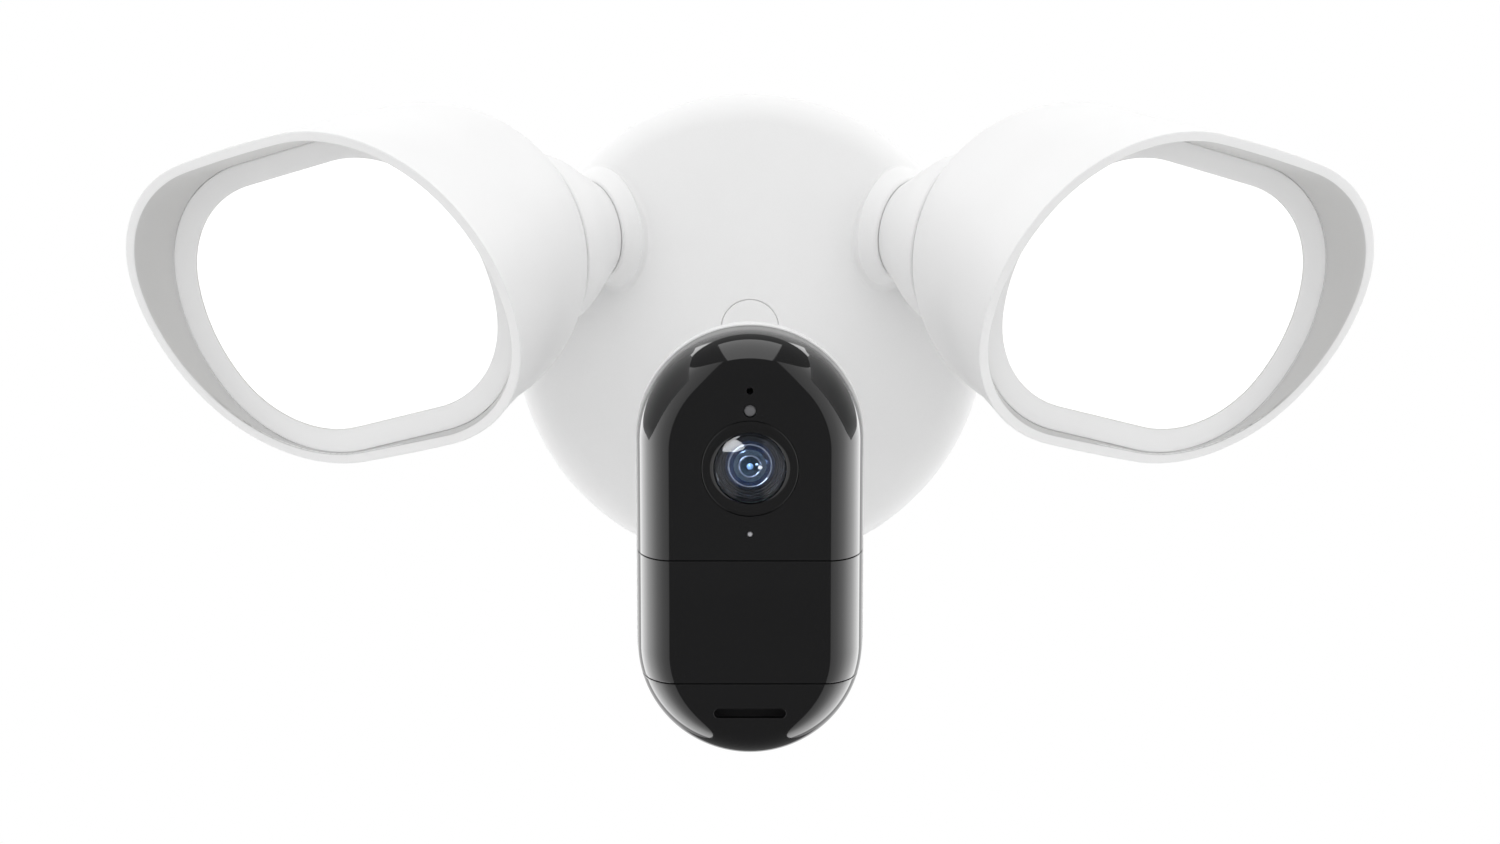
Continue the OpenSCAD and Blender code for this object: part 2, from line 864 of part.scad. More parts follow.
mirrored() tilt_pin();  // right_tilt_pin
mirrored() board_screws();  // right_board_screws
camera_bracket();
bracket_bolts();
pan_pin();
camera_arm();
camera_tilt_pin();
camera_housing();
upper_face();
middle_face();
lower_face();
lens_ring();
lens_dome();
lens_barrel();
lens_elements();
sensor_board();
main_board();
motion_sensor();
speaker();
light_window();
status_light();
setup_button();
camera_screws();
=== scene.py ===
"""Looks of a wall floodlight: a round base, two hooded lamp heads and a glossy capsule camera.

Lengths are in millimetres inside the classes and become metres when a mesh is made.
"""

import json
import logging
import math
from contextlib import contextmanager
from dataclasses import dataclass, field
from enum import Enum
from typing import Callable, Iterator, Sequence

import bmesh
import bpy
import numpy as np
from mathutils import Matrix, Vector


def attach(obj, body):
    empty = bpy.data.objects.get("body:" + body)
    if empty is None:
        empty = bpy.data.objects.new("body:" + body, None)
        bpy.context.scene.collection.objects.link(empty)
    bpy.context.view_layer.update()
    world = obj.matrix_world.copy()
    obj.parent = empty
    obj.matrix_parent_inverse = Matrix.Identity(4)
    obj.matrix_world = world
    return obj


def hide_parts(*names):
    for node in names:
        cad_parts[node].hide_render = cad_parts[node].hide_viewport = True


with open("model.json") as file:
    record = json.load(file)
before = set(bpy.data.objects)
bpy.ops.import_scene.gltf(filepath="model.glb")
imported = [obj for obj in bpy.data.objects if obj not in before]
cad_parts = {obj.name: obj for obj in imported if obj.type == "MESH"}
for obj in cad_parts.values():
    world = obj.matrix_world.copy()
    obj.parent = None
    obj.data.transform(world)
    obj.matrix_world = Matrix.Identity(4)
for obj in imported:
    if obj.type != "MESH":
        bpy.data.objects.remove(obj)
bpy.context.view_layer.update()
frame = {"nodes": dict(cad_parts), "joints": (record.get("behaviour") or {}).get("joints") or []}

log = logging.getLogger("floodlight")

MM = 0.001
DOUBLES = 1e-7
Ring = np.ndarray
Profile = list[tuple[float, float]]
Colour = tuple[float, float, float]
Piece = bpy.types.Object
Socket = bpy.types.NodeSocket
Tree = bpy.types.NodeTree


class Side(Enum):
    """Which lamp of the pair, with the sign of its place along X."""

    LEFT = -1
    RIGHT = 1


class Ends(Enum):
    """How a loft is closed."""

    POLES = "poles"
    LOOP = "loop"
    LAST_FACE = "last_face"


# ---------------------------------------------------------------- mesh tools


def deselect() -> None:
    """Leaves nothing selected, in object mode."""
    if bpy.context.object and bpy.context.object.mode != "OBJECT":
        bpy.ops.object.mode_set(mode="OBJECT")
    bpy.ops.object.select_all(action="DESELECT")


def pick(piece: Piece) -> None:
    """Makes one object the only selected and active one.

    Args:
        piece: The object to select.
    """
    deselect()
    piece.select_set(True)
    bpy.context.view_layer.objects.active = piece


@contextmanager
def editing(piece: Piece) -> Iterator[None]:
    """Edit mode on one piece, with all of its mesh selected.

    Args:
        piece: The object to edit.

    Yields:
        Nothing; object mode comes back afterwards.
    """
    pick(piece)
    bpy.ops.object.mode_set(mode="EDIT")
    bpy.ops.mesh.select_all(action="SELECT")
    yield
    bpy.ops.object.mode_set(mode="OBJECT")


def carry(piece: Piece, place: Matrix) -> None:
    """Moves a mesh by a place whose translation is in millimetres.

    Args:
        piece: The object whose mesh moves.
        place: Where it goes in the part's frame.
    """
    move = place.copy()
    move.translation = Vector(place.translation) * MM
    piece.data.transform(move)


def smooth(piece: Piece, angle: float = 32.0) -> None:
    """Shades a piece smooth, with creases sharper than an angle in degrees."""
    pick(piece)
    bpy.ops.object.shade_smooth_by_angle(angle=math.radians(angle))


def add_modifier(piece: Piece, kind: str, **settings: object) -> None:
    """Adds a modifier and applies it at once.

    Args:
        piece: The object to shape.
        kind: Blender's modifier type.
        settings: The modifier's own settings.
    """
    pick(piece)
    modifier = piece.modifiers.new(kind.lower(), kind)
    for key, value in settings.items():
        setattr(modifier, key, value)
    bpy.ops.object.modifier_apply(modifier=modifier.name)


def bevel(piece: Piece, width: float, segments: int = 3, angle: float = 40.0) -> None:
    """Rounds the creases of a piece by a width in millimetres."""
    add_modifier(piece, "BEVEL", width=width * MM, segments=segments, limit_method="ANGLE",
                 angle_limit=math.radians(angle), use_clamp_overlap=True, harden_normals=False)


def cut(piece: Piece, cutter: Piece, how: str = "DIFFERENCE") -> None:
    """Cuts one closed piece with another and removes the cutter."""
    add_modifier(piece, "BOOLEAN", object=cutter, operation=how, solver="EXACT")
    bpy.data.objects.remove(cutter)


def tidy_mesh(piece: Piece) -> None:
    """Merges doubles, drops loose and flat bits, and turns every face outwards.

    Args:
        piece: The object to clean.
    """
    with editing(piece):
        bpy.ops.mesh.remove_doubles(threshold=DOUBLES)
        bpy.ops.mesh.dissolve_degenerate(threshold=DOUBLES)
        bpy.ops.mesh.delete_loose()
        bpy.ops.mesh.select_all(action="SELECT")
        bpy.ops.mesh.normals_make_consistent(inside=False)


def loft(name: str, rings: Sequence[Ring], ends: Ends, place: Matrix | None = None) -> Piece:
    """Grows a skin from a circle that is extruded and set out once for every further ring.

    Args:
        name: The piece's name.
        rings: Points in millimetres, the same count on every ring.
        ends: How the skin is closed.
        place: Carries the rings from their own frame into the part's frame.

    Returns:
        The finished object, at the origin.
    """
    count = len(rings[0])
    turn = np.array(place or Matrix.Identity(4))
    rings = [(np.asarray(r) @ turn[:3, :3].T + turn[:3, 3]) * MM for r in rings]
    deselect()
    bpy.ops.mesh.primitive_circle_add(vertices=count, radius=0.01, fill_type="NOTHING")
    piece = bpy.context.object
    piece.name = piece.data.name = name
    bpy.ops.object.mode_set(mode="EDIT")
    bpy.ops.mesh.select_all(action="SELECT")
    mesh = bmesh.from_edit_mesh(piece.data)
    order = mesh.verts.layers.int.new("order")
    mesh.verts.ensure_lookup_table()
    for i, vert in enumerate(mesh.verts):
        vert[order] = i
        vert.co = rings[0][i]
    bmesh.update_edit_mesh(piece.data)
    for ring in rings[1:]:
        bpy.ops.mesh.extrude_region_move()
        mesh = bmesh.from_edit_mesh(piece.data)
        order = mesh.verts.layers.int["order"]
        mesh.verts.ensure_lookup_table()
        for vert in mesh.verts[-count:]:
            vert.co = ring[vert[order]]
        bmesh.update_edit_mesh(piece.data)
    if ends is Ends.LAST_FACE:
        bpy.ops.mesh.edge_face_add()
    if ends is Ends.LOOP:
        bpy.ops.mesh.select_all(action="SELECT")
        bpy.ops.mesh.region_to_loop()
        bpy.ops.mesh.bridge_edge_loops()
    mesh = bmesh.from_edit_mesh(piece.data)
    mesh.verts.layers.int.remove(mesh.verts.layers.int["order"])
    bmesh.update_edit_mesh(piece.data)
    tidy_mesh(piece)
    smooth(piece)
    return piece


def turned(name: str, profile: Profile, place: Matrix, steps: int = 96) -> Piece:
    """Spins a closed profile of (radius, height) points round the place's Z axis.

    Args:
        name: The piece's name.
        profile: The outline in millimetres, in order.
        place: Carries the turned piece into the part's frame.
        steps: Segments in the full turn.

    Returns:
        The finished object, at the origin.
    """
    deselect()
    bpy.ops.mesh.primitive_circle_add(vertices=len(profile), radius=0.01, fill_type="NOTHING")
    piece = bpy.context.object
    piece.name = piece.data.name = name
    bpy.ops.object.mode_set(mode="EDIT")
    mesh = bmesh.from_edit_mesh(piece.data)
    mesh.verts.ensure_lookup_table()
    for vert, (radius, height) in zip(mesh.verts, profile):
        vert.co = (radius * MM, 0, height * MM)
    bmesh.update_edit_mesh(piece.data)
    bpy.ops.mesh.select_all(action="SELECT")
    bpy.ops.mesh.spin(steps=steps, angle=2 * math.pi, center=(0, 0, 0), axis=(0, 0, 1))
    bpy.ops.object.mode_set(mode="OBJECT")
    carry(piece, place)
    tidy_mesh(piece)
    smooth(piece)
    return piece


def cylinder(name: str, radius: float, low: float, high: float, place: Matrix, steps: int = 64) -> Piece:
    """A plain round solid along the place's Z axis, used as a cutter.

    Args:
        name: The piece's name.
        radius: Its radius in millimetres.
        low: Where it starts along Z.
        high: Where it ends along Z.
        place: Carries it into the part's frame.
        steps: Its number of sides.

    Returns:
        The solid, at the origin.
    """
    deselect()
    bpy.ops.mesh.primitive_cylinder_add(vertices=steps, radius=radius * MM, depth=(high - low) * MM,
                                        location=(0, 0, (high + low) / 2 * MM))
    piece = bpy.context.object
    piece.name = name
    bpy.ops.object.transform_apply(location=True, rotation=True, scale=True)
    carry(piece, place)
    return piece


def arc(cx: float, cy: float, radius: float, start: float, stop: float, steps: int) -> Profile:
    """Points along a circular arc, angles in degrees."""
    angles = np.radians(np.linspace(start, stop, steps + 1))
    return [(cx + radius * math.cos(a), cy + radius * math.sin(a)) for a in angles]


def softened(a: Ring, corner: Ring, b: Ring, steps: int = 4) -> list[Ring]:
    """Rings that round a corner between a and b."""
    ts = np.linspace(0, 1, steps + 1)
    return [(1 - t) ** 2 * a + 2 * t * (1 - t) * corner + t**2 * b for t in ts]


def towards(start: Ring, goal: Ring, length: float) -> Ring:
    """The points a length from start on the way to goal."""
    way = goal - start
    return start + way / np.linalg.norm(way, axis=1, keepdims=True) * length


def joint(name: str) -> dict:
    """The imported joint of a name."""
    return next(j for j in frame["joints"] if j["name"] == name)


def facing(point: Sequence[float], axis: Sequence[float]) -> Matrix:
    """A frame at a point in millimetres whose Z axis lies along a direction."""
    turn = Vector(axis).to_track_quat("Z", "Y").to_matrix().to_4x4()
    return Matrix.Translation(Vector(point)) @ turn


# ---------------------------------------------------------------- finishes


def add_node(tree: Tree, kind: str, **settings: object) -> bpy.types.Node:
    """Adds a shader node with its properties and inputs.

    Args:
        tree: The node tree.
        kind: The node's type, without its ShaderNode prefix.
        settings: Properties in small letters, and inputs by their name with _ for a space, as values or sockets.

    Returns:
        The new node.
    """
    node = tree.nodes.new(f"ShaderNode{kind}")
    for key, value in settings.items():
        if key.islower():
            setattr(node, key, value)
        elif isinstance(value, Socket):
            tree.links.new(value, node.inputs[key.replace("_", " ")])
        else:
            node.inputs[key.replace("_", " ")].default_value = value
    return node


def calc(tree: Tree, how: str, *terms: Socket | float) -> Socket:
    """One step of arithmetic.

    Args:
        tree: The node tree.
        how: The Math node's operation.
        terms: Its inputs in order, as sockets or numbers.

    Returns:
        The result's socket.
    """
    node = add_node(tree, "Math", operation=how)
    for socket, term in zip(node.inputs, terms):
        if isinstance(term, Socket):
            tree.links.new(term, socket)
        else:
            socket.default_value = term
    return node.outputs[0]


class Grain(Enum):
    """The small-scale surface of a finish."""

    MOULDED = "moulded"
    POLISHED = "polished"
    BRUSHED = "brushed"
    CAST = "cast"
    FOAM = "foam"
    BOARD = "board"


BRUSH_STRETCH = (0.08, 1.0, 1.0)
CLOUD_SCALE = 28.0


@dataclass(frozen=True)
class Finish:
    """One material: its colour, gloss and the grain that breaks it up."""

    name: str
    colour: Colour
    rough: float
    grain: Grain = Grain.MOULDED
    metal: float = 0.0
    grain_mm: float = 0.5
    relief_mm: float = 0.012
    tone: float = 0.03
    rough_spread: float = 0.06
    coat: float = 0.0
    glass: float = 0.0
    ior: float = 1.47
    glow: float = 0.0
    soft: float = 0.0
    shine: float = 0.5
    tint: Colour = (1.0, 1.0, 1.0)

    def _texture(self, tree: Tree) -> Socket:
        """The pattern that drives colour, gloss and relief.

        Args:
            tree: The material's node tree.

        Returns:
            A 0 to 1 pattern.
        """
        place = add_node(tree, "TexCoord").outputs["Object"]
        stretch = BRUSH_STRETCH if self.grain is Grain.BRUSHED else (1.0, 1.0, 1.0)
        spot = add_node(tree, "Mapping", Vector=place, Scale=stretch).outputs["Vector"]
        per_metre = 1 / (self.grain_mm * MM)
        if self.grain is Grain.FOAM:
            return add_node(tree, "TexVoronoi", Vector=spot, Scale=per_metre).outputs["Distance"]
        if self.grain is Grain.BOARD:
            return add_node(tree, "TexBrick", Vector=spot, Scale=per_metre / 4, Mortar_Size=0.02).outputs["Fac"]
        detail = 3.0 if self.grain is Grain.CAST else 1.5
        return add_node(tree, "TexNoise", Vector=spot, Scale=per_metre, Detail=detail, Roughness=0.6).outputs["Fac"]

    @staticmethod
    def _ramp(tree: Tree, source: Socket, low: float, high: float) -> Socket:
        """Spreads the middle of a 0 to 1 pattern between two values."""
        return add_node(tree, "MapRange", Value=source, From_Min=0.3, From_Max=0.7, To_Min=low,
                        To_Max=high).outputs["Result"]

    def _colour(self, tree: Tree, pattern: Socket) -> Socket:
        """The base colour, gently lighter and darker with the grain and with a broad cloud.

        Args:
            tree: The material's node tree.
            pattern: The grain.

        Returns:
            The colour.
        """
        place = add_node(tree, "TexCoord").outputs["Object"]
        cloud = add_node(tree, "TexNoise", Vector=place, Scale=CLOUD_SCALE, Detail=2.0).outputs["Fac"]
        share = calc(tree, "MULTIPLY_ADD", pattern, 0.6, self._ramp(tree, cloud, 0.0, 0.4))
        mix = add_node(tree, "Mix", data_type="RGBA", Factor=share)
        for socket, tone in ((mix.inputs[6], 1 - self.tone), (mix.inputs[7], 1 + self.tone)):
            socket.default_value = (*(min(1.0, c * tone) for c in self.colour), 1)
        return mix.outputs[2]

    def material(self) -> bpy.types.Material:
        """Makes the material once and gives it again when asked again.

        Returns:
            The material.
        """
        title = f"{self.name}_finish"
        found = bpy.data.materials.get(title)
        if found:
            return found
        made = bpy.data.materials.new(title)
        made.use_nodes = True
        tree = made.node_tree
        inputs = tree.nodes["Principled BSDF"].inputs
        pattern = self._texture(tree)
        bump = add_node(tree, "Bump", Strength=1.0, Distance=self.relief_mm * MM, Height=pattern)
        rough = self._ramp(tree, pattern, max(0.02, self.rough - self.rough_spread), self.rough + self.rough_spread)
        for name, source in (("Base Color", self._colour(tree, pattern)), ("Roughness", rough),
                             ("Normal", bump.outputs["Normal"])):
            tree.links.new(source, inputs[name])
        plain = {"Metallic": self.metal, "Coat Weight": self.coat, "Coat Roughness": 0.03,
                 "Transmission Weight": self.glass, "IOR": self.ior, "Subsurface Weight": self.soft,
                 "Subsurface Radius": (0.002, 0.002, 0.002), "Subsurface Scale": 0.6,
                 "Specular IOR Level": self.shine, "Specular Tint": (*self.tint, 1)}
        if self.glow:
            plain |= {"Emission Color": (1, 1, 1, 1), "Emission Strength": self.glow}
        for name, value in plain.items():
            inputs[name].default_value = value
        return made

    def dress(self, *pieces: Piece) -> None:
        """Gives pieces this finish alone.

        Args:
            pieces: The objects to dress.
        """
        for piece in pieces:
            piece.data.materials.clear()
            piece.data.materials.append(self.material())


WHITE = Finish("satin_white", (0.84, 0.84, 0.84), 0.45, grain_mm=0.42, relief_mm=0.018, tone=0.022, shine=0.12)
# A darker copy of the satin white that paints shade on the visor's inner wall.
VISOR_PAINTED_SHADE = Finish("satin_visor_lining", (0.64, 0.64, 0.64), 0.55, grain_mm=0.4, relief_mm=0.02, tone=0.025, shine=0.1)
BEZEL = Finish("satin_grey_white", (0.85, 0.85, 0.85), 0.5, grain_mm=0.4, relief_mm=0.008, tone=0.01, shine=0.2)
DIFFUSER = Finish("opal_diffuser", (0.9, 0.9, 0.9), 0.5, grain_mm=0.6, relief_mm=0.002, tone=0.01, glow=0.9,
                  shine=0.2)
BLACK = Finish("piano_black", (0.004, 0.004, 0.0043), 0.05, Grain.POLISHED, grain_mm=3.0, relief_mm=0.0006,
               tone=0.05, rough_spread=0.015, coat=0.3)
DEEP_BLACK = Finish("matt_black", (0.004, 0.004, 0.0045), 0.35, grain_mm=0.3, relief_mm=0.006)
GLASS = Finish("dome_glass", (0.72, 0.77, 0.86), 0.03, Grain.POLISHED, relief_mm=0.0, tone=0.01, rough_spread=0.005,
               glass=1.0, ior=1.28, shine=0.25)
COATED = Finish("coated_glass", (0.006, 0.012, 0.03), 0.05, Grain.POLISHED, relief_mm=0.0, tone=0.3,
                rough_spread=0.01, ior=1.5, tint=(0.35, 0.52, 0.9))
RETAINER = Finish("anodised_ring", (0.42, 0.45, 0.5), 0.16, Grain.BRUSHED, metal=1.0, grain_mm=0.2, relief_mm=0.001,
                  tone=0.1)
REAR = Finish("rear_coated_glass", (0.01, 0.02, 0.03), 0.05, Grain.POLISHED, relief_mm=0.0, tone=0.3,
              rough_spread=0.01, ior=1.9, tint=(0.6, 0.8, 1.0))
BARREL = Finish("blackened_barrel", (0.006, 0.007, 0.009), 0.3, Grain.POLISHED, grain_mm=0.4, relief_mm=0.0,
                tone=0.2, shine=0.14)
# The pupil's bright blue colour is a painted reflection of the lens coating; its clear coat on top reflects for real.
PUPIL = Finish("pupil_glass", (0.25, 0.5, 0.95), 0.05, Grain.POLISHED, relief_mm=0.0, tone=0.3,
               rough_spread=0.01, ior=2.0, coat=1.0)
SMOKED = Finish("smoked_window", (0.13, 0.13, 0.135), 0.12, Grain.POLISHED, relief_mm=0.001, tone=0.05, shine=0.1)
PALE_DOT = Finish("light_pipe", (0.42, 0.42, 0.44), 0.2, Grain.POLISHED, relief_mm=0.001)
RUBBER = Finish("black_rubber", (0.02, 0.02, 0.021), 0.75, grain_mm=0.35, relief_mm=0.03, tone=0.12)
FOAM = Finish("gasket_foam", (0.055, 0.055, 0.058), 0.95, Grain.FOAM, grain_mm=0.7, relief_mm=0.12, tone=0.2)
ZINC = Finish("zinc_plate", (0.62, 0.63, 0.66), 0.34, Grain.BRUSHED, metal=1.0, grain_mm=0.5, relief_mm=0.01,
              tone=0.06, rough_spread=0.1)
SCREW = Finish("passivated_steel", (0.5, 0.5, 0.52), 0.28, Grain.BRUSHED, metal=1.0, grain_mm=0.25, relief_mm=0.006,
               tone=0.08, rough_spread=0.08)
CAST = Finish("cast_aluminium", (0.6, 0.61, 0.62), 0.55, Grain.CAST, metal=1.0, grain_mm=0.8, relief_mm=0.05,
              tone=0.08)
BOARD = Finish("solder_mask", (0.012, 0.09, 0.035), 0.35, Grain.BOARD, grain_mm=1.4, relief_mm=0.02, tone=0.35,
               coat=0.3)
WHITE_BOARD = Finish("white_solder_mask", (0.8, 0.8, 0.78), 0.4, Grain.BOARD, grain_mm=1.8, relief_mm=0.02, tone=0.06)
PHOSPHOR = Finish("led_phosphor", (0.85, 0.68, 0.2), 0.5, grain_mm=0.3, relief_mm=0.01, glow=0.5)
COMPONENT = Finish("moulded_component", (0.03, 0.03, 0.032), 0.55, grain_mm=0.35, relief_mm=0.02, tone=0.15)
IVORY = Finish("ivory_nylon", (0.74, 0.7, 0.58), 0.5, grain_mm=0.5, relief_mm=0.02, soft=0.2)
SENSOR = Finish("sensor_cover", (0.6, 0.6, 0.61), 0.45, grain_mm=0.6, relief_mm=0.01, soft=0.3)


CAD_FINISHES: dict[Finish, tuple[str, ...]] = {
    ZINC: ("base_chassis", "mounting_bracket", "left_neck_nut", "right_neck_nut"),
    SCREW: ("centre_screw", "chassis_screws", "bracket_bolts", "pan_pin", "camera_tilt_pin", "camera_screws",
            "left_tilt_pin", "right_tilt_pin", "left_board_screws", "right_board_screws"),
    WHITE: ("camera_bracket", "camera_arm", "setup_button", "screw_cap", "base_cover", "camera_housing",
            "left_neck", "right_neck", "left_lamp_housing", "right_lamp_housing"),
    BLACK: ("upper_face", "middle_face", "lower_face"),
    BEZEL: ("left_bezel", "right_bezel"),
    DIFFUSER: ("left_lens", "right_lens"),
    RUBBER: ("cap_seal", "wire_grommet", "left_friction_washer", "right_friction_washer", "left_lens_gasket",
             "right_lens_gasket"),
    FOAM: ("wall_gasket",),
    CAST: ("left_heat_sink", "right_heat_sink"),
    BOARD: ("driver_board", "sensor_board", "main_board"),
    WHITE_BOARD: ("left_led_board", "right_led_board"),
    PHOSPHOR: ("left_leds", "right_leds"),
    COMPONENT: ("driver_components", "speaker"),
    IVORY: ("terminal_block",),
    SENSOR: ("motion_sensor",),
    DEEP_BLACK: ("lens_ring", "lens_barrel"),
    GLASS: ("lens_dome",),
    COATED: ("lens_elements",),
    SMOKED: ("light_window",),
    PALE_DOT: ("status_light",),
}


def settle(piece: Piece, body: str, slot: str, finish: Finish, *nodes: str) -> None:
    """Dresses a piece, ties it to a body and hides the nodes it stands for.

    Args:
        piece: The finished object.
        body: The body it rides on.
        slot: The record's material slot; not used.
        finish: The material it gets.
        nodes: CAD nodes that it replaces.
    """
    finish.dress(piece)
    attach(piece, body)
    if nodes:
        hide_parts(*nodes)
    log.info("%s rides on %s with %d faces", piece.name, body, len(piece.data.polygons))


# ---------------------------------------------------------------- base


@dataclass
class Base:
    """The round moulded cover with its two collars and its screw cap."""

    radius: float = 66.0
    depth: float = 29.0
    shoulder: float = 9.0
    crown: float = 1.6
    wall: float = 2.5
    back_gap: float = 0.3
    cap_radius: float = 8.0
    cap_gap: float = 0.045
    collar_root: float = 16.6
    collar_face: float = 14.0
    collar_length: float = 4.5
    fillet: float = 5.0
    fillet_reach: float = 0.3
    skirt_heights: tuple[float, ...] = (22, 17, 13, 10, 8, 6, 4.8, 3.8, 2.9, 2.1, 1.4, 0.9, 0.5, 0.25, 0.1, 0, -0.6)
    spigot: float = 6.7
    steps: int = 192
    front: Matrix = field(default_factory=lambda: Matrix.Rotation(math.radians(90), 4, "X"))

    def face_at(self, radius: float) -> float:
        """Height of the gently crowned front at a radius."""
        flat = self.radius - self.shoulder
        return self.depth - self.crown * (radius / flat) ** 2

    def surface_at(self, radius: float) -> float:
        """Height of the cover's skin, over its crown and down its shoulder.

        Args:
            radius: Distance from the cover's axis.

        Returns:
            Distance from the wall.
        """
        flat = self.radius - self.shoulder
        if radius <= flat:
            return self.face_at(radius)
        drop = math.sqrt(max(0.0, self.shoulder**2 - (radius - flat) ** 2))
        return self.face_at(flat) - self.shoulder + drop

    def cover_profile(self) -> Profile:
        """The cover's section, from the inside of its front round its rim to the cap's recess.

        Returns:
            Points of radius and height.
        """
        r, w, s, lip_r = self.radius, self.wall, self.shoulder, 0.35
        edge, foot, boss = self.face_at(r - s), self.back_gap + 0.5, self.cap_radius + 2
        slope = math.degrees(math.atan(2 * self.crown / (r - s)))
        inside = [(0.0, self.depth - 9.0), (boss, self.depth - 9.0), (boss, self.depth - w - 0.4), (r - s, edge - w)]
        inside += arc(r - s, edge - s, s - w, 90, 0, 10) + [(r - w, foot)]
        rim = arc(r - w + 0.5, foot, 0.5, 180, 270, 4) + arc(r - 0.5, foot, 0.5, 270, 360, 4)
        shoulder = arc(r - s, edge - s, s, 0, 90 - slope, 28)
        hole = self.cap_radius + self.cap_gap
        crown = [(x, self.face_at(x)) for x in np.linspace(r - s - 1.5, hole + 1.0, 26)]
        lip = arc(hole + lip_r, self.face_at(hole) - lip_r, lip_r, 90, 180, 4)
        recess = [(hole, self.depth - 6.0), (0.0, self.depth - 6.0)]
        return inside + rim + shoulder + crown + lip + recess

    def build_cover(self) -> None:
        """Turns the cover and opens it behind each collar."""
        cover = turned("base_shell", self.cover_profile(), self.front, self.steps)
        for side in Side:
            ring = self.collar_outline(side, self.collar_root - 2.2, -self.collar_length)
            middle = np.repeat(ring.mean(axis=0, keepdims=True), len(ring), 0)
            ahead, back = np.array([0, -6.0, 0]), np.array([0, 25.0, 0])
            cut(cover, loft("collar_opening", [middle + ahead, ring + ahead, ring + back, middle + back], Ends.POLES))
        smooth(cover, 30)
        settle(cover, "base", "white_shell", WHITE, "base_cover")

    def collar_outline(self, side: Side, radius: float, along: float, count: int = 128) -> Ring:
        """A circle round a neck's axis.

        Args:
            side: Which neck it is.
            radius: The circle's radius.
            along: Its place along the axis, from the swivel's own point.
            count: Its number of points.

        Returns:
            The points in the part's frame.
        """
        swivel = joint(f"{side.name.lower()}_swivel")
        place = facing([x / MM for x in swivel["pos_m"]], swivel["axis"])
        angles = np.linspace(0, 2 * math.pi, count, endpoint=False)
        local = np.stack([radius * np.cos(angles), radius * np.sin(angles), np.full(count, along)], 1)
        turn = np.array(place)
        return local @ turn[:3, :3].T + turn[:3, 3]

    def collar_flare(self, side: Side) -> list[Ring]:
        """Rings of a collar from its socket over its face to its root.

        Args:
            side: Which lamp's collar it is.

        Returns:
            The rings in order, the last one being the root.
        """
        face, root = self.collar_face, self.collar_root
        steps = [(self.spigot, -3.0), (self.spigot, -0.5), (self.spigot + 0.4, -0.1), (face - 0.5, -0.1)]
        rings = [self.collar_outline(side, radius, along) for radius, along in steps]
        rings += softened(*(self.collar_outline(side, face + out, along)
                            for out, along in ((-0.5, 0.0), (0.0, 0.0), (0.4, -0.5))))
        for t in np.linspace(0.15, 1, 8):
            radius = face + 0.4 + (root - face - 0.4) * (0.55 * t + 0.45 * t * t)
            rings.append(self.collar_outline(side, radius, -0.5 - (self.collar_length - 0.5) * t))
        return rings

    def collar_skirt(self, root: Ring) -> list[Ring]:
        """Rings that run a collar straight back and blend it into the cover with a fillet.

        Args:
            root: The last ring of the collar's flare.

        Returns:
            Rings at falling heights above the cover's skin, the last just under it.
        """
        out = root[:, [0, 2]] - root.mean(axis=0)[[0, 2]]
        out /= np.linalg.norm(out, axis=1, keepdims=True)
        rings = []
        for height in self.skirt_heights:
            near = min(1.0, max(0.0, 1 - height / self.fillet))
            flat = root[:, [0, 2]] + out * self.fillet * self.fillet_reach * (1 - math.sqrt(1 - near**2))
            surface = np.array([self.surface_at(r) for r in np.linalg.norm(flat, axis=1)])
            ring = root.copy()
            ring[:, 1] = np.maximum(root[:, 1], -surface - height)
            ring[:, [0, 2]] = np.where((ring[:, 1] > root[:, 1])[:, None], flat, root[:, [0, 2]])
            rings.append(ring)
        return rings

    def build_collar(self, side: Side) -> None:
        """The flared stub that a neck turns in, run back into the cover.

        Args:
            side: Which lamp's collar it is.
        """
        rings = self.collar_flare(side)
        rings += self.collar_skirt(rings[-1])
        inner = self.collar_outline(side, self.collar_root - 2.0, -self.collar_length)
        inner[:, 1] = np.maximum(inner[:, 1], 4.0 - self.depth)
        rings += [inner, self.collar_outline(side, self.collar_root - 2.6, -3.4),
                  self.collar_outline(side, self.spigot + 2.0, -3.0)]
        collar = loft(f"{side.name.lower()}_collar", rings, Ends.LOOP)
        smooth(collar, 35)
        settle(collar, "base", "white_shell", WHITE)

    def build_cap(self) -> None:
        """The round cap over the centre screw, with a softened edge and a faint dish."""
        r, top = self.cap_radius, self.depth - 0.15
        profile = [(0.0, top - 0.12)] + [(x, top - 0.12 * (1 - (x / r) ** 2)) for x in (2, 4, 6)]
        profile += arc(r - 0.4, top - 0.4, 0.4, 90, 0, 5) + [(r, self.depth - 2.8), (r - 1.6, self.depth - 2.8),
                                                           (r - 1.6, self.depth - 1.8), (0.0, self.depth - 1.8)]
        settle(turned("round_cap", profile, self.front), "cap", "white_shell", WHITE, "screw_cap")

    def build(self) -> None:
        """Makes the cover, both collars and the cap."""
        self.build_cover()
        for side in Side:
            self.build_collar(side)
        self.build_cap()


# ---------------------------------------------------------------- lamp


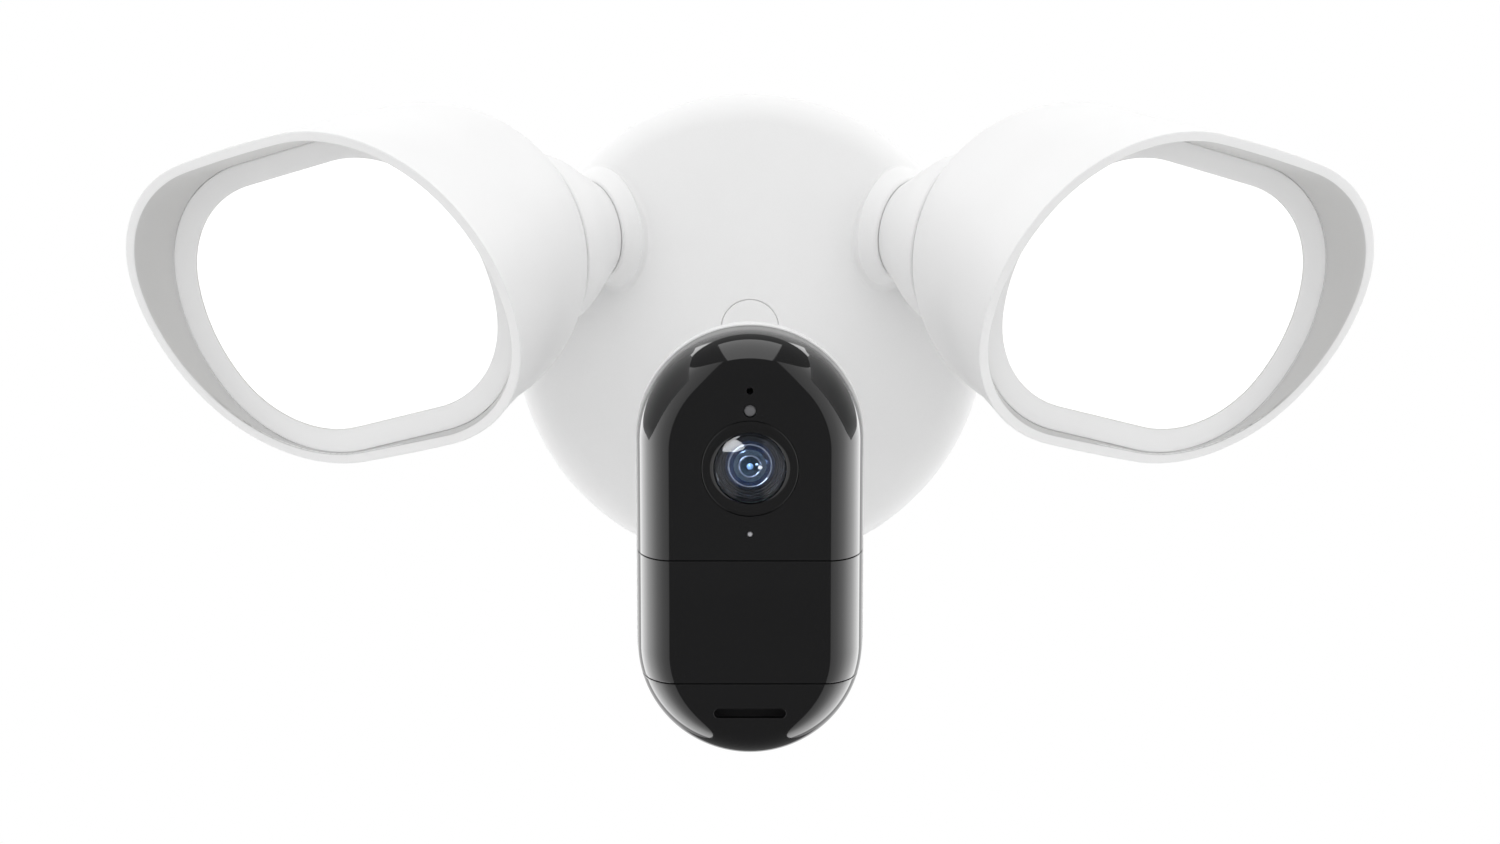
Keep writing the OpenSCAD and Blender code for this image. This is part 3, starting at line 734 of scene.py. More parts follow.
@dataclass
class Lamp:
    """One lamp head with its visor, bezel and lens, and the neck that carries it."""

    side: Side
    yaw: float = 27.0
    pitch: float = 24.5
    roll: float = -12.0
    ball: float = 42.8
    lens_r: float = 44.3
    lens_h: float = 34.5
    lens_corner: float = 29.8
    ahead: float = 39.0
    rise: float = 6.5
    bezel: float = 6.4
    rim: float = 2.8
    visor: float = 9.65
    slope: float = 0.198
    lean: float = 0.048
    flare: float = 0.31
    wall: float = 2.5
    edge: float = 0.55
    neck_small: float = 13.4
    neck_cup: float = 24.2
    seat_gap: float = 0.35
    neck_swell: float = 1.7
    neck_arm: float = 5.0
    seat_depth: float = 4.0

    @property
    def name(self) -> str:
        """The side's word, which starts every name."""
        return self.side.name.lower()

    @property
    def centre(self) -> np.ndarray:
        """The ball's centre."""
        return np.array(joint(f"{self.name}_tilt")["pos_m"]) / MM

    @property
    def head(self) -> Matrix:
        """The head's frame: x across the lens, z up it, -y out of it.

        Returns:
            A matrix in millimetres, mirrored for the right lamp.
        """
        mirror = Matrix.Diagonal((-1, 1, 1, 1)) if self.side is Side.RIGHT else Matrix.Identity(4)
        turn = Matrix.Rotation(math.radians(-self.yaw), 4, "Z") @ Matrix.Rotation(math.radians(self.pitch), 4, "X")
        turn = turn @ Matrix.Rotation(math.radians(self.roll), 4, "Y")
        return Matrix.Translation(self.centre.tolist()) @ mirror @ turn

    def outline(self, grow: float, along: float | np.ndarray) -> Ring:
        """The lens's flattened round outline.

        Args:
            grow: How far it is grown outward.
            along: Its distance ahead of the ball's centre, one for all points or one for each.

        Returns:
            The points in the head's frame.
        """
        r, h, c = self.lens_r + grow, self.lens_h + grow, self.lens_corner + grow
        x = math.sqrt((r - c) ** 2 - (h - c) ** 2)
        turn = math.degrees(math.atan2(h - c, x))
        quarter = arc(0, 0, r, 0, turn, 8)[:-1] + arc(x, h - c, c, turn, 90, 26)
        quarter += [(x * k, h) for k in (0.66, 0.33)]
        top = np.array(quarter + [(0.0, h)])
        left = top[:-1][::-1] * [-1, 1]
        half = np.concatenate([top, left])
        flat = np.concatenate([half[:-1], -half[:-1]])
        depth = np.broadcast_to(-np.asarray(along, float), (len(flat),))
        return np.stack([flat[:, 0], depth, flat[:, 1] + self.rise], 1)

    def visor_at(self) -> np.ndarray:
        """The visor's length at every point of the bezel's outline."""
        base = self.outline(self.bezel, 0.0)
        return self.visor + self.slope * (base[:, 2] - self.rise) + self.lean * base[:, 0]

    def visor_ring(self, grow: float, share: float = 1.0) -> Ring:
        """A ring round the visor.

        Args:
            grow: How far it is grown outward.
            share: Its share of the way from the lens plane to the visor's edge.

        Returns:
            The points in the head's frame.
        """
        length = self.visor_at() * share
        base = self.outline(self.bezel, self.ahead + length)
        flat = base[:, [0, 2]] - [0, self.rise]
        out = flat / np.linalg.norm(flat, axis=1, keepdims=True)
        push = (grow + self.flare * length)[:, None]
        base[:, [0, 2]] += out * push
        return base

    @staticmethod
    def meridians(ring: Ring, ball: float, arcs: int, lines: int) -> list[Ring]:
        """Rings from a ball's back pole round to a ring ahead of it, leaving the ball at a tangent.

        Args:
            ring: The ring to reach.
            ball: The ball's radius.
            arcs: Steps over the ball.
            lines: Steps along the tangents.

        Returns:
            The rings in order.
        """
        rho = np.hypot(ring[:, 0], ring[:, 2])
        out = ring[:, [0, 2]] / rho[:, None]
        far = np.hypot(rho, ring[:, 1])
        touch = np.arctan2(ring[:, 1], rho) + np.arccos(np.minimum(ball / far, 1.0))
        rings = []
        for t in np.linspace(0, 1, arcs + 1):
            a = math.pi / 2 + (touch - math.pi / 2) * t
            rings.append(np.stack([ball * np.cos(a) * out[:, 0], ball * np.sin(a), ball * np.cos(a) * out[:, 1]], 1))
        start = rings[-1]
        rings += [start + (ring - start) * t for t in np.linspace(0, 1, lines + 1)[1:]]
        return rings

    @property
    def seat(self) -> float:
        """Where bezel and lens rest, ahead of the ball's centre."""
        return self.ahead - self.seat_depth

    def build_housing(self) -> None:
        """The one-piece shell: ball back, flaring flank, visor rim and the bezel's seat."""
        outer, inner = self.visor_ring(self.rim), self.visor_ring(0.0)
        rings = self.meridians(outer, self.ball, 26, 14)
        before = towards(outer, rings[-3], self.edge)
        rings = rings[:-1] + softened(before, outer, towards(outer, inner, self.edge))
        down = towards(inner, self.visor_ring(0.0, 0.5), self.edge)
        rings += softened(towards(inner, outer, self.edge), inner, down)
        rings += [self.visor_ring(0.0, t) for t in (0.9, 0.75, 0.5, 0.25, 0.08)]
        rings += [self.outline(self.bezel + 0.08, self.ahead), self.outline(self.bezel + 0.08, self.seat)]
        within = self.meridians(self.outline(self.bezel - 1.6, self.seat), self.ball - self.wall, 14, 6)
        rings += within[::-1]
        shell = loft(f"{self.name}_head_shell", rings, Ends.POLES, self.head)
        cut(shell, self.arm_path())
        smooth(shell, 28)
        settle(shell, f"{self.name}_head", "white_shell", WHITE, f"{self.name}_lamp_housing")
        self.paint_visor_shade(shell)

    def paint_visor_shade(self, shell: Piece) -> None:
        """Paints shade on the visor's inner wall with a darker copy of the white finish.

        Args:
            shell: The head shell.
        """
        shell.data.materials.append(VISOR_PAINTED_SHADE.material())
        back = self.head.inverted()
        turn = back.to_3x3()
        for face in shell.data.polygons:
            place = back @ (face.center / MM)
            out = Vector((place.x, 0, place.z - self.rise)).normalized()
            # Painted shade: inward-facing faces inside the visor get the darker copy of the white finish.
            if -place.y > self.ahead - 0.3 and (turn @ face.normal).dot(out) < -0.55:
                face.material_index = 1

    def arm_path(self) -> Piece:
        """The room that the neck's arm sweeps through the ball as the head tilts.

        Returns:
            A closed cutter.
        """
        tilt = joint(f"{self.name}_tilt")
        swivel = joint(f"{self.name}_swivel")
        low, high = tilt["range_deg"]
        hub = Vector(self.centre) * MM
        parts = []
        for angle in (low, 0, high):
            rod = cylinder("rod", 5.8, -60, -26, facing(self.centre, swivel["axis"]), 24)
            turn = Matrix.Rotation(math.radians(-angle), 4, Vector(tilt["axis"]))
            rod.data.transform(Matrix.Translation(hub) @ turn @ Matrix.Translation(-hub))
            parts.append(rod)
        pick(parts[0])
        for part in parts:
            part.select_set(True)
        bpy.ops.object.join()
        path = bpy.context.object
        with editing(path):
            bpy.ops.mesh.convex_hull()
        return path

    def build_bezel(self) -> None:
        """The ring round the lens, sloping gently in to it."""
        w, front, back = self.bezel, self.ahead - 0.1, self.seat
        rings = [self.outline(w, back), self.outline(w, front - 0.3)]
        rings += softened(self.outline(w, front - 0.3), self.outline(w, front), self.outline(w - 0.4, front))
        rings += [self.outline(w * t, front - 0.9 * (1 - t)) for t in (0.75, 0.5, 0.25)]
        corner = ((0.5, 0.85), (0.1, 0.95), (0.1, 1.4))
        rings += softened(*(self.outline(grow, front - drop) for grow, drop in corner))
        rings += [self.outline(0.1, back + 2.6), self.outline(2.2, back + 2.6), self.outline(2.2, back)]
        ring = loft(f"{self.name}_bezel_ring", rings, Ends.LOOP, self.head)
        settle(ring, f"{self.name}_head", "white_bezel", BEZEL, f"{self.name}_bezel")

    def build_lens(self) -> None:
        """The lit opal lens, faintly crowned, with a rounded edge and a flange behind the bezel."""
        back, front = self.seat, self.ahead - 1.1
        centre = self.outline(0, 0).mean(axis=0, keepdims=True)
        edge = self.outline(-0.2, front - 0.5)
        rings = [self.outline(2.0, back), self.outline(2.0, back + 2.4), self.outline(-0.2, back + 2.4)]
        rings += softened(edge, self.outline(-0.2, front), self.outline(-0.8, front + 0.05))
        base = self.outline(-0.8, 0.0)
        for share in (0.9, 0.75, 0.55, 0.3, 0.0):
            ring = centre + (base - centre) * share
            ring[:, 1] = -(front + 0.05 + 0.8 * (1 - share**2))
            rings.append(ring)
        start = np.repeat(centre * [[1, 0, 1]] + [[0, -back, 0]], len(base), 0)
        lens = loft(f"{self.name}_lit_lens", [start] + rings, Ends.POLES, self.head)
        lens.visible_diffuse = False
        settle(lens, f"{self.name}_head", "diffuser", DIFFUSER, f"{self.name}_lens")

    def neck_profile(self, length: float) -> Profile:
        """The neck's section: spigot, swelling flank, rounded lip and the ball's cup.

        Args:
            length: From the swivel's point to the ball's centre.

        Returns:
            Points of radius and height over the swivel's point.
        """
        small, cup, seat, arm = self.neck_small, self.neck_cup, self.ball + self.seat_gap, self.neck_arm
        lip = length - math.sqrt(seat**2 - cup**2)
        slope = math.degrees(math.atan2(cup - small, lip - 0.3))
        profile = [(3.0, -7.4), (6.5, -7.4), (6.5, 0.04)]
        profile += arc(small - 0.25, 0.29, 0.25, 270, 360 - slope, 4)
        for t in np.linspace(0.08, 0.93, 18):
            swell = self.neck_swell * math.sin(math.pi * t**1.6)
            profile.append((small + (cup - small) * t + swell, (lip - 0.07) * t + 0.07))
        profile += arc(cup - 0.75, lip - 0.75, 0.7, 20, 110, 6)
        for a in np.linspace(math.asin((cup - 0.8) / seat), math.asin(arm / seat), 14):
            profile.append((seat * math.sin(a), length - seat * math.cos(a)))
        return profile + [(arm, length - 8.0), (3.0, length - 8.0)]

    def build_neck(self) -> None:
        """The flared cup that the ball sits in, with its spigot and the arm to the cross pin."""
        swivel, tilt = joint(f"{self.name}_swivel"), joint(f"{self.name}_tilt")
        start = np.array(swivel["pos_m"]) / MM
        length = float(np.linalg.norm(self.centre - start))
        neck = turned(f"{self.name}_neck_cup", self.neck_profile(length), facing(start, swivel["axis"]), 128)
        smooth(neck, 30)
        settle(neck, f"{self.name}_swivel", "white_shell", WHITE, f"{self.name}_neck")
        section = [(2.56, -7.5), (7.0, -7.5), (7.5, -7.0), (7.5, 7.0), (7.0, 7.5), (2.56, 7.5)]
        knuckle = turned(f"{self.name}_knuckle", section, facing(self.centre, tilt["axis"]), 48)
        settle(knuckle, f"{self.name}_swivel", "white_shell", WHITE)

    def build(self) -> None:
        """Makes the shell, bezel, lens and neck."""
        self.build_housing()
        self.build_bezel()
        self.build_lens()
        self.build_neck()


# ---------------------------------------------------------------- camera


@dataclass
class Capsule:
    """The camera head: a polished black face in three bands on a white back."""

    half_width: float = 29.4
    half_height: float = 56.4
    round_depth: float = 14.0
    round_width: float = 9.5
    side_depth: float = 5.0
    wall: float = 2.2
    over: float = 0.4
    back_depth: float = 24.0
    back_round: float = 18.0
    ahead: float = 87.0
    height: float = -57.2
    pitch: float = 12.0
    seam_high: float = -1.7
    seam_low: float = -34.6
    seam: float = 0.3
    lens_z: float = 22.6
    surround_r: float = 12.5
    dome_r: float = 9.2
    window_z: float = 37.7
    microphone_z: float = 42.9
    status_z: float = 5.3
    slot_z: float = -42.6
    optics: list[Piece] = field(default_factory=list)

    @property
    def head(self) -> Matrix:
        """The camera's frame: z up the face, -y out of it."""
        place = Matrix.Translation((0, -self.ahead, self.height))
        return place @ Matrix.Rotation(math.radians(self.pitch), 4, "X")

    def front(self, z: float) -> Matrix:
        """A frame on the camera's middle line at height z whose Z axis points out of the face."""
        return self.head @ Matrix.Translation((0, 0, z)) @ Matrix.Rotation(math.radians(90), 4, "X")

    def outline(self, radius: float, y: float) -> Ring:
        """A capsule round the camera's middle line.

        Args:
            radius: The radius of its ends.
            y: Its depth, negative out of the face.

        Returns:
            The points in the camera's frame.
        """
        mid = self.half_height - self.half_width
        top = arc(0, mid, radius, 0, 180, 64)
        low = arc(0, -mid, radius, 180, 360, 64)
        sides = np.linspace(mid, -mid, 14)[1:-1]
        points = top + [(-radius, z) for z in sides] + low + [(radius, -z) for z in sides]
        flat = np.array(points)
        return np.stack([flat[:, 0], np.full(len(flat), y), flat[:, 1]], 1)

    def face_skin(self) -> Piece:
        """The whole black face as an open skin.

        Returns:
            The skin, at the origin.
        """
        r, w, d = self.half_width, self.round_width, self.round_depth
        rings = [self.outline(r, y) for y in (self.side_depth, 2.5, 0.0)]
        for a in np.linspace(0, math.pi / 2, 33)[1:]:
            rings.append(self.outline(r - w + w * math.cos(a), -d * math.sin(a)))
        rings.append(self.outline(r - w - 0.8, -d))
        return loft("face_skin", rings, Ends.LAST_FACE, self.head)

    def band(self, skin: Piece, name: str, low: float | None, high: float | None) -> Piece:
        """A copy of the face between two heights, given its thickness.

        Args:
            skin: The whole face.
            name: The band's name.
            low: Lowest height, or None for the face's end.
            high: Highest height, or None for the face's end.

        Returns:
            The band as a closed wall.
        """
        piece = skin.copy()
        piece.data = skin.data.copy()
        bpy.context.collection.objects.link(piece)
        piece.name = piece.data.name = name
        up = self.head.to_3x3() @ Vector((0, 0, 1))
        for z, sign in ((low, 1), (high, -1)):
            if z is None:
                continue
            with editing(piece):
                plane = (self.head @ Vector((0, 0, z))) * MM
                bpy.ops.mesh.bisect(plane_co=plane, plane_no=up * sign, clear_inner=True)
        add_modifier(piece, "SOLIDIFY", thickness=self.wall * MM, offset=-1.0, use_even_offset=False)
        return piece

    def build_face(self) -> None:
        """The three bands with the lens opening, the small holes and the speaker slot."""
        skin = self.face_skin()
        half = self.seam / 2
        upper = self.band(skin, "upper_band", self.seam_high + half, None)
        middle = self.band(skin, "middle_band", self.seam_low + half, self.seam_high - half)
        lower = self.band(skin, "lower_band", None, self.seam_low - half)
        bpy.data.objects.remove(skin)
        for z, radius in ((self.lens_z, self.surround_r + 0.1), (self.window_z, 1.7), (self.microphone_z, 0.9),
                          (self.status_z, 0.8)):
            cut(upper, cylinder("hole", radius, 4, 20, self.front(z), 96))
        cut(lower, self.slot_cutter())
        for piece, node in ((upper, "upper_face"), (middle, "middle_face"), (lower, "lower_face")):
            bevel(piece, 0.2, 3, 50)
            smooth(piece, 40)
            add_modifier(piece, "WEIGHTED_NORMAL", keep_sharp=True, weight=60)
            settle(piece, "camera_head", "black_face", BLACK, node)

    def slot_cutter(self) -> Piece:
        """A long hole with round ends for the speaker.

        Returns:
            A closed cutter.
        """
        flat = np.array(arc(8.05, 0, 1.3, -90, 90, 16) + arc(-8.05, 0, 1.3, 90, 270, 16))
        ring = np.stack([flat[:, 0], np.full(len(flat), -20.0), flat[:, 1] + self.slot_z], 1)
        deep = ring + [0, 14.0, 0]
        cap = np.repeat(ring.mean(axis=0, keepdims=True), len(ring), 0)
        return loft("slot", [cap, ring, deep, cap + [0, 14.0, 0]], Ends.POLES, self.head)

    def build_back(self) -> None:
        """The white back shell, strongly rounded, with the button's hole."""
        r, w = self.half_width + self.over, self.back_round
        start, deep = self.side_depth + 0.2, self.back_depth - 1.0
        rings = [self.outline(r, start), self.outline(r, start + 0.8)]
        end = self.side_depth + self.back_depth
        for a in np.linspace(0, math.pi / 2, 29)[1:]:
            rings.append(self.outline(r - w + w * math.cos(a), end - deep + deep * math.sin(a)))
        rings.append(self.outline(r - w - 0.8, end))
        shell = loft("camera_back", rings, Ends.LAST_FACE, self.head)
        add_modifier(shell, "SOLIDIFY", thickness=self.wall * MM, offset=-1.0, use_even_offset=False)
        cut(shell, cylinder("button_hole", 4.15, -40, -20, self.front(-30.0), 64))
        bevel(shell, 0.25, 3, 50)
        smooth(shell, 30)
        settle(shell, "camera_head", "white_shell", WHITE, "camera_housing")
        self.build_lug()

    def build_lug(self) -> None:
        """The eye on the back that the tilt pin goes through."""
        hinge = joint("camera_tilt")
        eye = turned("camera_eye", [(2.06, -4.8), (5.1, -4.8), (5.5, -4.4), (5.5, 4.4), (5.1, 4.8), (2.06, 4.8)],
                     facing([x / MM for x in hinge["pos_m"]], hinge["axis"]), 64)
        settle(eye, "camera_head", "white_shell", WHITE)
        deselect()
        bpy.ops.mesh.primitive_cube_add(size=1, location=(0, 0, 0))
        web = bpy.context.object
        web.name = web.data.name = "camera_web"
        for step in (Matrix.Diagonal((8.8, 4.6, 10.0, 1)), Matrix.Translation((0, 30.6, 8.0)), self.head,
                     Matrix.Scale(MM, 4)):
            web.data.transform(step)
        bevel(web, 0.6, 3)
        smooth(web, 30)
        settle(web, "camera_head", "white_shell", WHITE)

    def build_surround(self, place: Matrix, top: float) -> None:
        """The black ring round the dome.

        Args:
            place: The lens's frame.
            top: Height of the camera's face.
        """
        r, d = self.surround_r, self.dome_r
        ring = [(d + 0.05, top - 3.0), (r, top - 3.0)] + arc(r - 0.3, top - 0.35, 0.3, 0, 90, 4)
        ring += [(d + 0.6, top - 0.12), (d + 0.2, top - 0.3), (d + 0.05, top - 0.8)]
        settle(turned("lens_surround", ring, place, 128), "camera_head", "black_ring", BLACK, "lens_ring")

    def build_dome(self, place: Matrix, top: float) -> Piece:
        """The clear dome over the lens.

        Args:
            place: The lens's frame.
            top: Height of the camera's face.

        Returns:
            The dome.
        """
        d, bulge, wall = self.dome_r, 18.0, 1.2
        rim = math.asin((d - 0.35) / bulge)
        outer = [(bulge * math.sin(a), top + 1.8 - bulge * (1 - math.cos(a))) for a in np.linspace(0, rim, 22)]
        outer += arc(d - 0.35, outer[-1][1] - 0.35, 0.35, 60, 0, 4) + [(d, top - 2.9)]
        hollow = bulge - wall
        inner = [(math.sin(a) * hollow, top + 0.8 - hollow * (1 - math.cos(a)))
                 for a in np.linspace(math.asin((d - 1.0) / hollow), 0, 18)]
        dome = turned("glass_dome", outer + [(d - 1.0, top - 2.9)] + inner, place, 128)
        settle(dome, "camera_head", "lens_glass", GLASS, "lens_dome")
        return dome

    def build_barrel(self, place: Matrix, top: float) -> list[Piece]:
        """The stepped tube and the two bright rings that hold the elements.

        Args:
            place: The lens's frame.
            top: Height of the camera's face.

        Returns:
            The tube and its rings.
        """
        barrel = [(9.0, top - 3.0), (8.5, top - 3.0)]
        for k in range(6):
            radius, level = 8.3 - 0.62 * k, top - 3.1 - 0.5 * k
            barrel += [(radius, level), (radius - 0.12, level - 0.04), (radius - 0.2, level - 0.5)]
        barrel += [(4.4, top - 6.4), (4.4, top - 12.0), (9.0, top - 12.0)]
        made = [turned("stepped_barrel", barrel, place, 128)]
        settle(made[0], "camera_head", "black_ring", BARREL, "lens_barrel")
        for name, radius, level in (("outer_retainer", 5.5, top - 4.0), ("inner_retainer", 2.75, top - 3.25)):
            retainer = turned(name, arc(radius, level, 0.28, 0, 360, 12)[:-1], place, 96)
            settle(retainer, "camera_head", "black_ring", RETAINER, "lens_barrel")
            made.append(retainer)
        return made

    def build_optics(self) -> None:
        """The lens surround, the dome, the stepped barrel and the coated elements behind it."""
        place, top = self.front(self.lens_z), self.round_depth
        self.build_surround(place, top)
        self.optics = [self.build_dome(place, top), *self.build_barrel(place, top)]
        elements = (("meniscus", 6.3, top - 4.3, 0.8, COATED), ("rear_element", 4.2, top - 3.75, 0.75, REAR),
                    ("pupil", 1.2, top - 3.4, 0.7, PUPIL))
        for name, radius, level, rise, finish in elements:
            crown = [(radius * t, level + rise * (1 - t * t)) for t in np.linspace(0, 1, 14)]
            lens = turned(name, crown + [(radius, level - 0.8), (0.0, level - 0.8)], place, 96)
            nodes = ("lens_elements",) if name == "meniscus" else ()
            settle(lens, "camera_head", "coated_glass", finish, *nodes)
            self.optics.append(lens)

    def build_small(self) -> None:
        """The light window over the lens and the status light under it."""
        for name, z, radius, finish, slot, node in (
                ("grey_window", self.window_z, 1.5, SMOKED, "smoked_window", "light_window"),
                ("pale_light", self.status_z, 0.72, PALE_DOT, "status_lens", "status_light")):
            top = self.round_depth - 0.25
            profile = [(0.0, top - 2.2), (radius, top - 2.2), (radius, top - 0.25)]
            for a in np.radians((20, 40, 60, 75, 90)):
                profile.append((radius * math.cos(a), top - 0.25 + 0.4 * math.sin(a)))
            settle(turned(name, profile, self.front(z), 48), "camera_head", slot, finish, node)

    def build(self) -> None:
        """Makes the face, back, optics and small parts."""
        self.build_face()
        self.build_back()
        self.build_optics()
        self.build_small()


# ---------------------------------------------------------------- hardware from the frame


@dataclass
class Hardware:
    """Copies of the plain fittings with softened edges, each in place of its node."""

    fittings: dict[str, tuple[str, str, Finish, float]] = field(default_factory=lambda: {
        "camera_bracket": ("base", "white_shell", WHITE, 0.5),
        "camera_arm": ("arm", "white_shell", WHITE, 0.4),
        "setup_button": ("button", "white_button", WHITE, 0.25),
        "pan_pin": ("base", "screw_steel", SCREW, 0.2),
        "camera_tilt_pin": ("arm", "screw_steel", SCREW, 0.2),
        "bracket_bolts": ("base", "screw_steel", SCREW, 0.2),
        "chassis_screws": ("base", "screw_steel", SCREW, 0.2),
        "base_chassis": ("base", "zinc_steel", ZINC, 0.2),
        "mounting_bracket": ("base", "zinc_steel", ZINC, 0.25),
        "wall_gasket": ("base", "gasket_foam", FOAM, 0.4),
        "wire_grommet": ("base", "black_rubber", RUBBER, 0.3),
    })

    def build(self) -> None:
        """Copies, merges, bevels and dresses every fitting."""
        for node, (body, slot, finish, width) in self.fittings.items():
            source = frame["nodes"][node]
            piece = source.copy()
            piece.data = source.data.copy()
            piece.parent = None
            piece.matrix_world = Matrix.Identity(4)
            bpy.context.collection.objects.link(piece)
            piece.name = piece.data.name = f"{node}_finished"
            with editing(piece):
                bpy.ops.mesh.remove_doubles(threshold=2e-6)
                bpy.ops.mesh.dissolve_limited(angle_limit=math.radians(2))
            bevel(piece, width, 2, 45)
            smooth(piece, 35)
            add_modifier(piece, "WEIGHTED_NORMAL", keep_sharp=True, weight=60)
            settle(piece, body, slot, finish, node)


# ---------------------------------------------------------------- studio


@dataclass
class Studio:
    """Camera, soft lights, pale floor and a white world."""

    distance: float = 1.0
    eye_height: float = -0.026
    focal: float = 83.92
    floor_z: float = -0.36
    overhead_power: float = 2.8
    front_power: float = 3.0
    glint_power: float = 5.0
    glint_spread: tuple[float, ...] = (1.0, 0.72, 0.45)
    ambient: float = 0.68
    fade: float = 0.15
    backdrop: float = 0.72
    ceiling: float = 0.28
    ground: float = 0.2
    roof_box: float = 1.4
    box_top: float = 0.74
    arch: float = 0.06
    box_foot: float = -0.45
    brightest: float = 5.0
    side_boxes: tuple[tuple[float, float], ...] = (
        (0.0, 0.22), (0.105, 0.22), (0.108, 0.85), (0.27, 1.25), (0.40, 1.9), (0.54, 3.1), (0.68, 3.6), (0.80, 3.4),
        (0.82, 0.85), (1.0, 0.85))

    def build_camera(self) -> None:
        """A level camera straight in front."""
        bpy.ops.object.camera_add(location=(0, -self.distance, self.eye_height), rotation=(math.pi / 2, 0, 0))
        camera = bpy.context.object
        camera.data.sensor_width = 36.0
        camera.data.lens = self.focal
        camera.data.clip_start = 0.01
        bpy.context.scene.camera = camera

    @staticmethod
    def add_softbox(name: str, place: Vector, target: Vector, size: tuple[float, float], power: float) -> None:
        """A rectangular area light aimed at a point, kept out of reflections.

        Args:
            name: The light's name.
            place: Where it stands, in metres.
            target: The point that it faces.
            size: Its width and height in metres.
            power: Its power in watts.
        """
        bpy.ops.object.light_add(type="AREA", location=place)
        lamp = bpy.context.object
        lamp.name = name
        lamp.rotation_euler = (target - place).to_track_quat("-Z", "Y").to_euler()
        lamp.data.shape = "RECTANGLE"
        lamp.data.size, lamp.data.size_y = size
        lamp.data.energy = power
        lamp.visible_glossy = False

    def build_lights(self) -> None:
        """A broad box above and in front, and a weaker one straight ahead."""
        middle = Vector((0, -0.06, -0.02))
        self.add_softbox("overhead", Vector((0, -0.55, 1.1)), middle, (1.4, 0.9), self.overhead_power)
        self.add_softbox("front", Vector((0, -1.3, 0.35)), middle, (1.6, 0.8), self.front_power)

    def build_glint(self, pieces: Sequence[Piece]) -> None:
        """Small boxes that only the given glass pieces mirror, nested so that the larger glint fades.

        Args:
            pieces: The glass pieces that the boxes light.
        """
        group = bpy.data.collections.new("glinting")
        for piece in pieces:
            group.objects.link(piece)
        lens = Vector((0, -0.105, -0.035))
        high, low = Vector((-0.60, -0.87, 0.30)), Vector((0.30, -0.9, -0.34))
        boxes = [(f"glint_{share}", high, (0.5 * share, 0.2 * share), self.glint_power)
                 for share in self.glint_spread]
        boxes.append(("low_glint", low, (0.07, 0.05), self.glint_power / 20))
        for name, way, size, power in boxes:
            self.add_softbox(name, lens + way * 0.5, lens, size, power)
            lamp = bpy.context.object
            lamp.visible_glossy = True
            lamp.data.shape = "ELLIPSE"
            lamp.visible_diffuse = False
            lamp.light_linking.receiver_collection = group

    def mirrored_room(self, tree: Tree, x: Socket, y: Socket, z: Socket) -> Socket:
        """What shiny pieces mirror: tall side boxes round a dark room, a ceiling with a box, and a low ground.

        Args:
            tree: The world's node tree.
            x: How far sideways a ray goes.
            y: How far it goes towards the wall.
            z: How far it goes up.

        Returns:
            The brightness in each direction.
        """
        turn = calc(tree, "DIVIDE", calc(tree, "ARCTAN2", x, calc(tree, "MULTIPLY", y, -1.0)), math.pi)
        turn = calc(tree, "SUBTRACT", turn, calc(tree, "MULTIPLY", calc(tree, "MAXIMUM", z, 0.0), self.arch))
        sides = add_node(tree, "ValToRGB", Fac=turn)
        stops = sides.color_ramp.elements
        for place, level in self.side_boxes[1:-1]:
            stops.new(place)
        for stop, (place, level) in zip(stops, self.side_boxes):
            stop.position = place
            stop.color = (*[level / self.brightest] * 3, 1)
        high = calc(tree, "GREATER_THAN", z, self.box_top)
        low = calc(tree, "MULTIPLY", calc(tree, "LESS_THAN", z, self.box_foot), calc(tree, "LESS_THAN", x, 0.3))
        between = calc(tree, "SUBTRACT", 1.0, calc(tree, "ADD", high, low))
        room = calc(tree, "MULTIPLY", calc(tree, "MULTIPLY", sides.outputs[0], self.brightest), between)
        roof = calc(tree, "LESS_THAN", x, calc(tree, "MULTIPLY", z, 0.35))
        for how, share in (("GREATER_THAN", -0.85), ("LESS_THAN", 0.42)):
            roof = calc(tree, "MULTIPLY", roof, calc(tree, how, y, calc(tree, "MULTIPLY", z, share)))
        for area, level in ((high, self.ceiling), (low, self.ground), (roof, self.roof_box)):
            room = calc(tree, "ADD", room, calc(tree, "MULTIPLY", area, level))
        return room

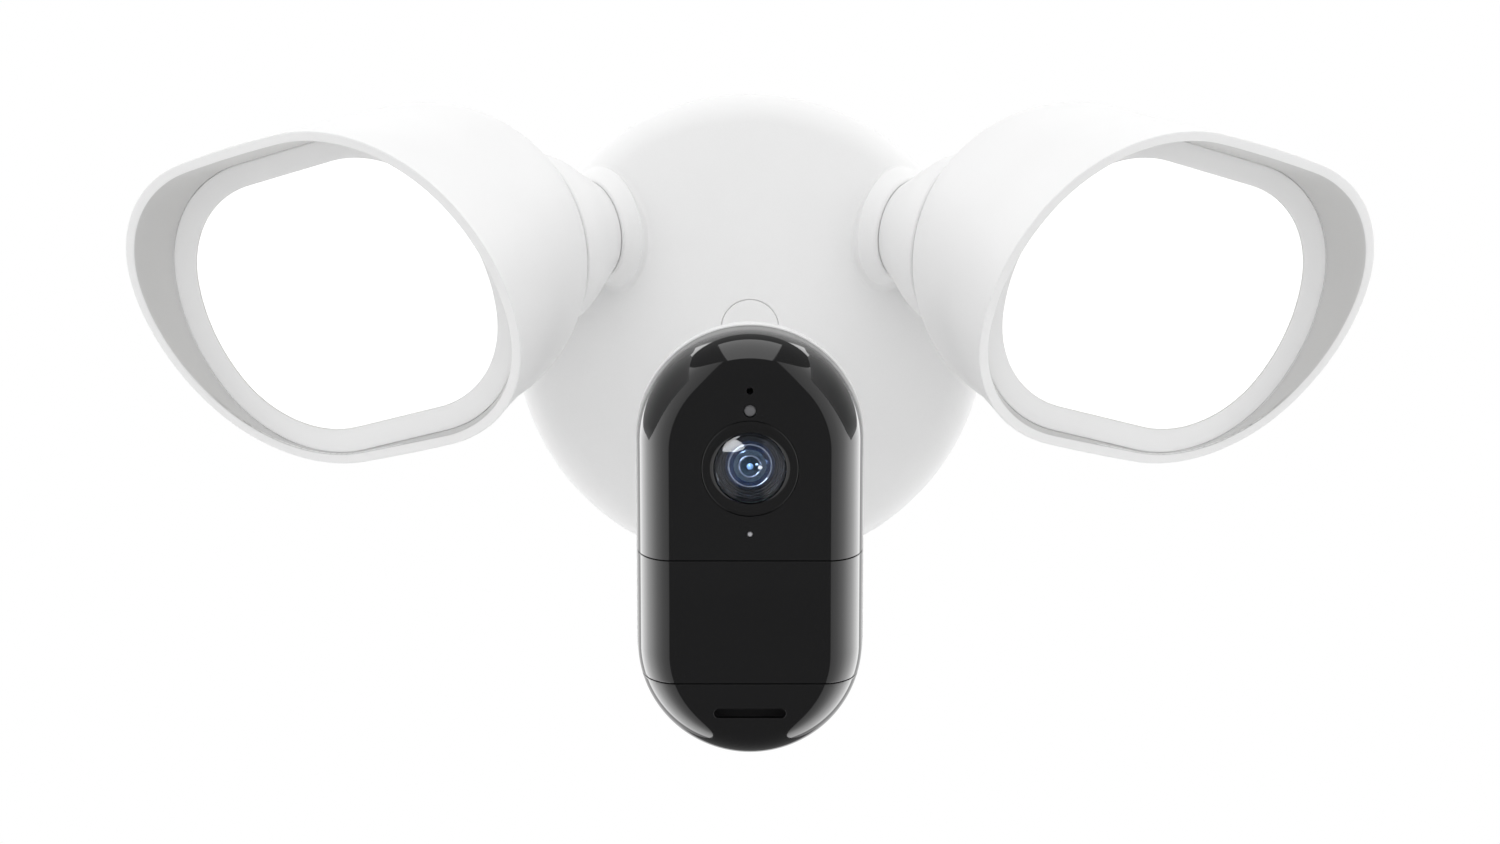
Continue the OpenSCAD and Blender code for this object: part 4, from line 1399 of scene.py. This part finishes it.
    def build_world(self) -> None:
        """A white backdrop, a soft vertical fade as a light, and the room that is mirrored."""
        world = bpy.data.worlds.new("studio")
        bpy.context.scene.world = world
        world.use_nodes = True
        tree = world.node_tree
        tree.nodes.clear()
        way = add_node(tree, "SeparateXYZ", Vector=add_node(tree, "TexCoord").outputs["Generated"])
        x, y, z = calc(tree, "ABSOLUTE", way.outputs[0]), way.outputs[1], way.outputs[2]
        ahead = calc(tree, "MINIMUM", calc(tree, "MAXIMUM", calc(tree, "DIVIDE", y, 0.9), 0.0), 1.0)
        backdrop = calc(tree, "MULTIPLY", calc(tree, "MULTIPLY", ahead, ahead), 1.0 - self.backdrop)
        backdrop = calc(tree, "ADD", backdrop, self.backdrop)
        ambient = calc(tree, "ADD", calc(tree, "MULTIPLY", z, self.fade), self.ambient)
        seen, lit, shine = (add_node(tree, "Background", Color=(1, 1, 1, 1), Strength=level)
                            for level in (backdrop, ambient, self.mirrored_room(tree, x, y, z)))
        rays = add_node(tree, "LightPath")
        out = add_node(tree, "OutputWorld")
        result = shine
        for ray, sky in (("Is Diffuse Ray", lit), ("Is Camera Ray", seen)):
            mix = add_node(tree, "MixShader", Fac=rays.outputs[ray])
            tree.links.new(result.outputs[0], mix.inputs[1])
            tree.links.new(sky.outputs[0], mix.inputs[2])
            result = mix
        tree.links.new(result.outputs[0], out.inputs["Surface"])

    def build_floor(self) -> None:
        """A plain pale floor well below the lamp."""
        bpy.ops.mesh.primitive_circle_add(vertices=96, radius=0.55, fill_type="NGON", location=(0, 0, self.floor_z))
        floor = bpy.context.object
        floor.name = "floor"
        Finish("pale_floor", (0.8, 0.8, 0.8), 0.8, grain_mm=6.0, relief_mm=0.0, tone=0.01).dress(floor)
        floor.visible_glossy = False

    def build(self) -> None:
        """Sets the whole studio."""
        bpy.context.scene.view_settings.view_transform = "Standard"
        self.build_camera()
        self.build_lights()
        self.build_world()
        self.build_floor()


def dress_frame() -> None:
    """Gives every CAD node its finish."""
    for finish, nodes in CAD_FINISHES.items():
        for name in nodes:
            finish.dress(frame["nodes"][name])


def main() -> None:
    """Builds the whole model in order."""
    logging.basicConfig(level=logging.INFO, format="%(name)s: %(message)s")
    studio, camera_head = Studio(), Capsule()
    builders: list[Callable[[], None]] = [studio.build, dress_frame, Base().build]
    builders += [Lamp(side).build for side in Side]
    builders += [camera_head.build, Hardware().build]
    for build in builders:
        build()
    studio.build_glint(camera_head.optics)


if __name__ == "__main__":
    main()
